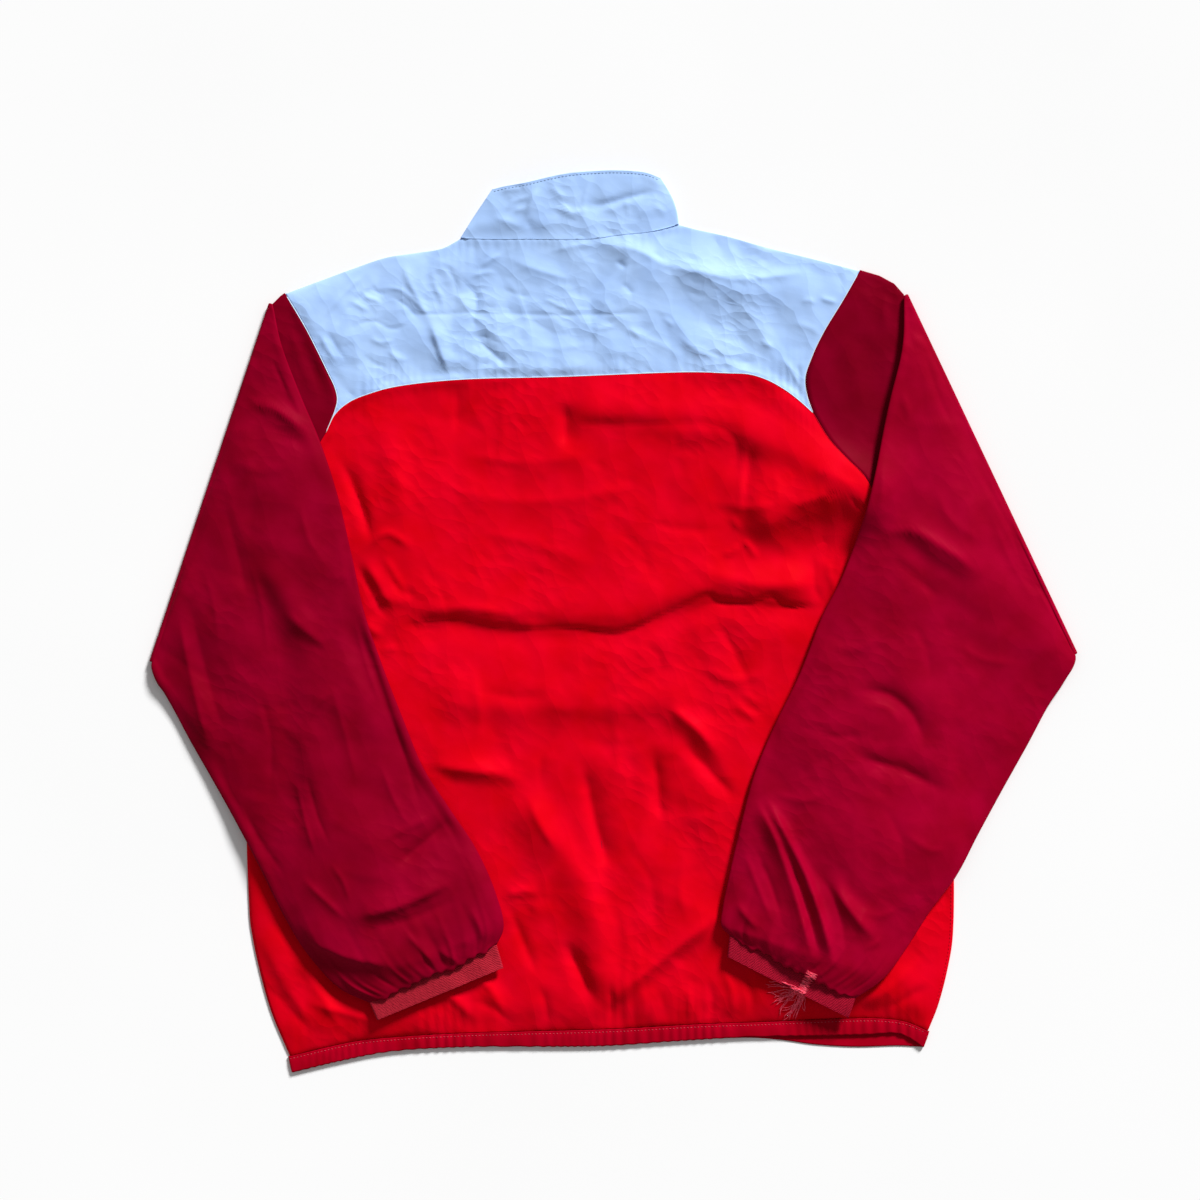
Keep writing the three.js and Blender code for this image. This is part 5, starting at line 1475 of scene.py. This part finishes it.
def elastic(name, dark, light):
    """Woven elastic with rows of small zigzags that run round the cuff."""
    paint = Paint(name, 0.85, 0.03)
    flat = paint.node("UVMap", uv_map="cloth").outputs["UV"]
    split = paint.node("SeparateXYZ", {"Vector": flat}).outputs
    zigzag = paint.calc("PINGPONG", paint.calc("MULTIPLY", split["X"], 36), 1)
    rows = paint.calc("ADD", paint.calc("MULTIPLY", split["Y"], 15), paint.calc("MULTIPLY", zigzag, 0.45))
    rows = paint.calc("ADD", rows, paint.calc("MULTIPLY", paint.noise(90, 2), 0.9))
    wave = paint.calc("PINGPONG", rows, 0.5)
    speckle = paint.noise(900, 2)
    value = paint.calc("ADD", wave, paint.calc("MULTIPLY", speckle, 0.35))
    normal = paint.bump(speckle, 0.0004, paint.bump(wave, 0.0006))
    return paint.finish(paint.ramp(value, 0.18, 0.62, dark, light), normal)


def plain(name, dark, light, rough=0.8, specular=0.05, metallic=0.0, scale=500, depth=0.0001):
    paint = Paint(name, rough, specular, metallic)
    value = paint.noise(scale, 2)
    return paint.finish(paint.ramp(value, 0.3, 0.7, dark, light), paint.bump(value, depth))


RED = nylon("red_nylon", (0.64, 0.0, 0.006), (0.72, 0.0, 0.013), 110, crinkle=0.75, specular=0.008)
WHITE = nylon("white_nylon", (0.385, 0.575, 0.95), (0.43, 0.625, 0.98), 125, crinkle=1.5, specular=0.04)
# The crimson takes the sleeves' painted light and shade
CRIMSON = nylon(
    "crimson_nylon", (0.23, 0.0, 0.011), (0.29, 0.0, 0.019), 115, crinkle=0.65, specular=0.012, painted_light_on=True,
)
HEM = nylon("hem_nylon", (0.34, 0.0, 0.008), (0.43, 0.0, 0.014), 80, crinkle=0.3, specular=0.01)
CUFF = elastic("cuff_elastic", (0.19, 0.002, 0.012), (0.56, 0.026, 0.046))
# Painted shade: a darker copy of the cuff elastic, for the right cuff, which lies in shade
CUFF_PAINTED_SHADE = elastic("cuff_elastic_dark", (0.19, 0.0, 0.013), (0.48, 0.01, 0.033))
TAPE = plain("tape_weave", (0.3, 0.002, 0.015), (0.36, 0.004, 0.02), 0.9)
TEETH = plain("teeth_plastic", (0.34, 0.003, 0.02), (0.4, 0.005, 0.025), 0.4, 0.4)
METAL = plain(
    "slider_metal", (0.5, 0.51, 0.53), (0.6, 0.61, 0.63), rough=0.35, specular=0.5, metallic=1.0, scale=900,
    depth=0.00005,
)
PINK_THREAD = plain("pink_thread", (0.54, 0.05, 0.08), (0.66, 0.1, 0.14))
# Partly real, partly painted light: a rosy thread colour, made brighter to offset the sleeve's shadow that
# falls on it
ROSY_THREAD_PAINTED_LIGHT = plain("rosy_thread_painted_light", (0.82, 0.03, 0.08), (0.98, 0.13, 0.2))
# Painted highlight: a colour paler than the white cloth, for thin bright lines along the yoke and armhole
# seams
PAINTED_HIGHLIGHT_THREAD = plain("painted_highlight_thread", (0.72, 0.82, 0.93), (0.8, 0.88, 0.96))
# Painted shade: a dark blue-grey thread colour for the collar's top seam, where the seam line lies in shade
PAINTED_SHADE_THREAD = plain("painted_shade_thread", (0.26, 0.36, 0.5), (0.3, 0.4, 0.55))
RED_THREAD = plain("red_thread", (0.5, 0.001, 0.01), (0.6, 0.003, 0.02))


# The jacket
def dress(piece, material, nodes=()):
    piece.data.materials.append(material)
    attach(piece, "root")
    if nodes:
        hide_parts(*nodes)
    return piece


camera = bpy.data.objects.new("camera", bpy.data.cameras.new("camera"))
bpy.context.collection.objects.link(camera)
camera.data.sensor_width = 36
camera.data.lens = 85
camera.location = (-0.0118, 0.0184, 2.489)
bpy.context.scene.camera = camera

body = dress(back_body(), RED, ["back_body"])
yoke = dress(back_yoke(), WHITE, ["back_yoke"])
neck = dress(collar(), WHITE, ["collar"])
band = dress(hem_band(), HEM, ["hem_band"])
sleeves, cuffs = {}, {}
for hand in ("left", "right"):
    sleeves[hand] = dress(sleeve(hand), CRIMSON, [f"sleeve_{hand}"])
    # The right cuff takes the elastic with painted shade
    cuffs[hand] = dress(cuff(hand), CUFF if hand == "left" else CUFF_PAINTED_SHADE, [f"cuff_{hand}"])
for panel_piece in fronts():
    node_name = panel_piece.name.removesuffix("_cloth")
    is_yoke = "yoke" in node_name
    dress(
        panel_piece, WHITE if is_yoke else RED, [node_name]
    )
chain, tapes = zip_pieces()
dress(chain, TEETH)
dress(tapes[0], TAPE, ["front_zip"])
dress(tapes[1], TAPE)
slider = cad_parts["zip_slider"]
slider.data.materials.clear()
slider.data.materials.append(METAL)

# Sewing on the cloth
hem_stitches = stitches(
    "hem_stitches", LINE["hem_top"] + (0, -2.2), [band, body], PINK_THREAD, pitch=3.1, size=1.5, radius=0.24,
)
neck_line = along(LINE["neck"], np.linspace(0.01, 0.99, 90))
# The yoke and armhole seam rolls carry a painted highlight along the seams' edges
yoke_rolls = [
    roll("yoke_seam_roll", LINE["yoke"] + (0, 0.2), [body, yoke], PAINTED_HIGHLIGHT_THREAD, radius=0.3),
    roll("neck_seam_roll", neck_line, [yoke, neck], WHITE, radius=0.5, lift=-0.1),
]
for hand in ("left", "right"):
    upper = along(LINE[f"arm_upper_{hand}"], np.linspace(0.02, 1, 60))
    yoke_rolls.append(roll(f"arm_seam_roll_{hand}", upper, [yoke], PAINTED_HIGHLIGHT_THREAD, radius=0.36))
lower = along(LINE["arm_lower_right"], np.linspace(0, 0.42, 40))
arm_roll = roll("arm_lower_roll_right", lower, [body], RED_THREAD, radius=0.3)
# The stitches along the collar's top are real; their dark colour is painted shade
collar_stitches = stitches(
    "collar_stitches", LINE["collar_top"] + (0, -2.2), [neck], PAINTED_SHADE_THREAD, pitch=3.2, size=2.3, radius=0.2,
)
# The darned threads take the rosy colour with painted light
threads = darning([cuffs["right"], sleeves["right"], body])
side_line = along(LINE["side_right"], np.linspace(0.62, 0.93, 30)) + (-2.5, 0)
side_stitches = stitches("side_stitches", side_line, [body], RED_THREAD, pitch=3.2, size=2.2, radius=0.28)

# Light and floor
sun = bpy.data.objects.new("key", bpy.data.lights.new("key", "SUN"))
sun.data.energy = 4.9
sun.data.angle = math.radians(14)
sun.rotation_euler = (math.radians(-62), 0, math.radians(-30))
bpy.context.collection.objects.link(sun)
world = bpy.data.worlds.new("studio")
world.use_nodes = True
world.node_tree.nodes["Background"].inputs["Color"].default_value = (1, 1, 1, 1)
world.node_tree.nodes["Background"].inputs["Strength"].default_value = 0.27
bpy.context.scene.world = world
bpy.context.scene.view_settings.view_transform = "Standard"

FLOOR = 20000
corners = [(-FLOOR, -FLOOR, 0), (FLOOR, -FLOOR, 0), (FLOOR, FLOOR, 0), (-FLOOR, FLOOR, 0)]
floor = mesh_object("floor", corners, [(0, 1, 2, 3)])
floor_paint = plain("floor_paint", (0.965,) * 3, (0.98,) * 3, rough=0.9, specular=0.0, scale=3, depth=0.0)
floor.data.materials.append(floor_paint)
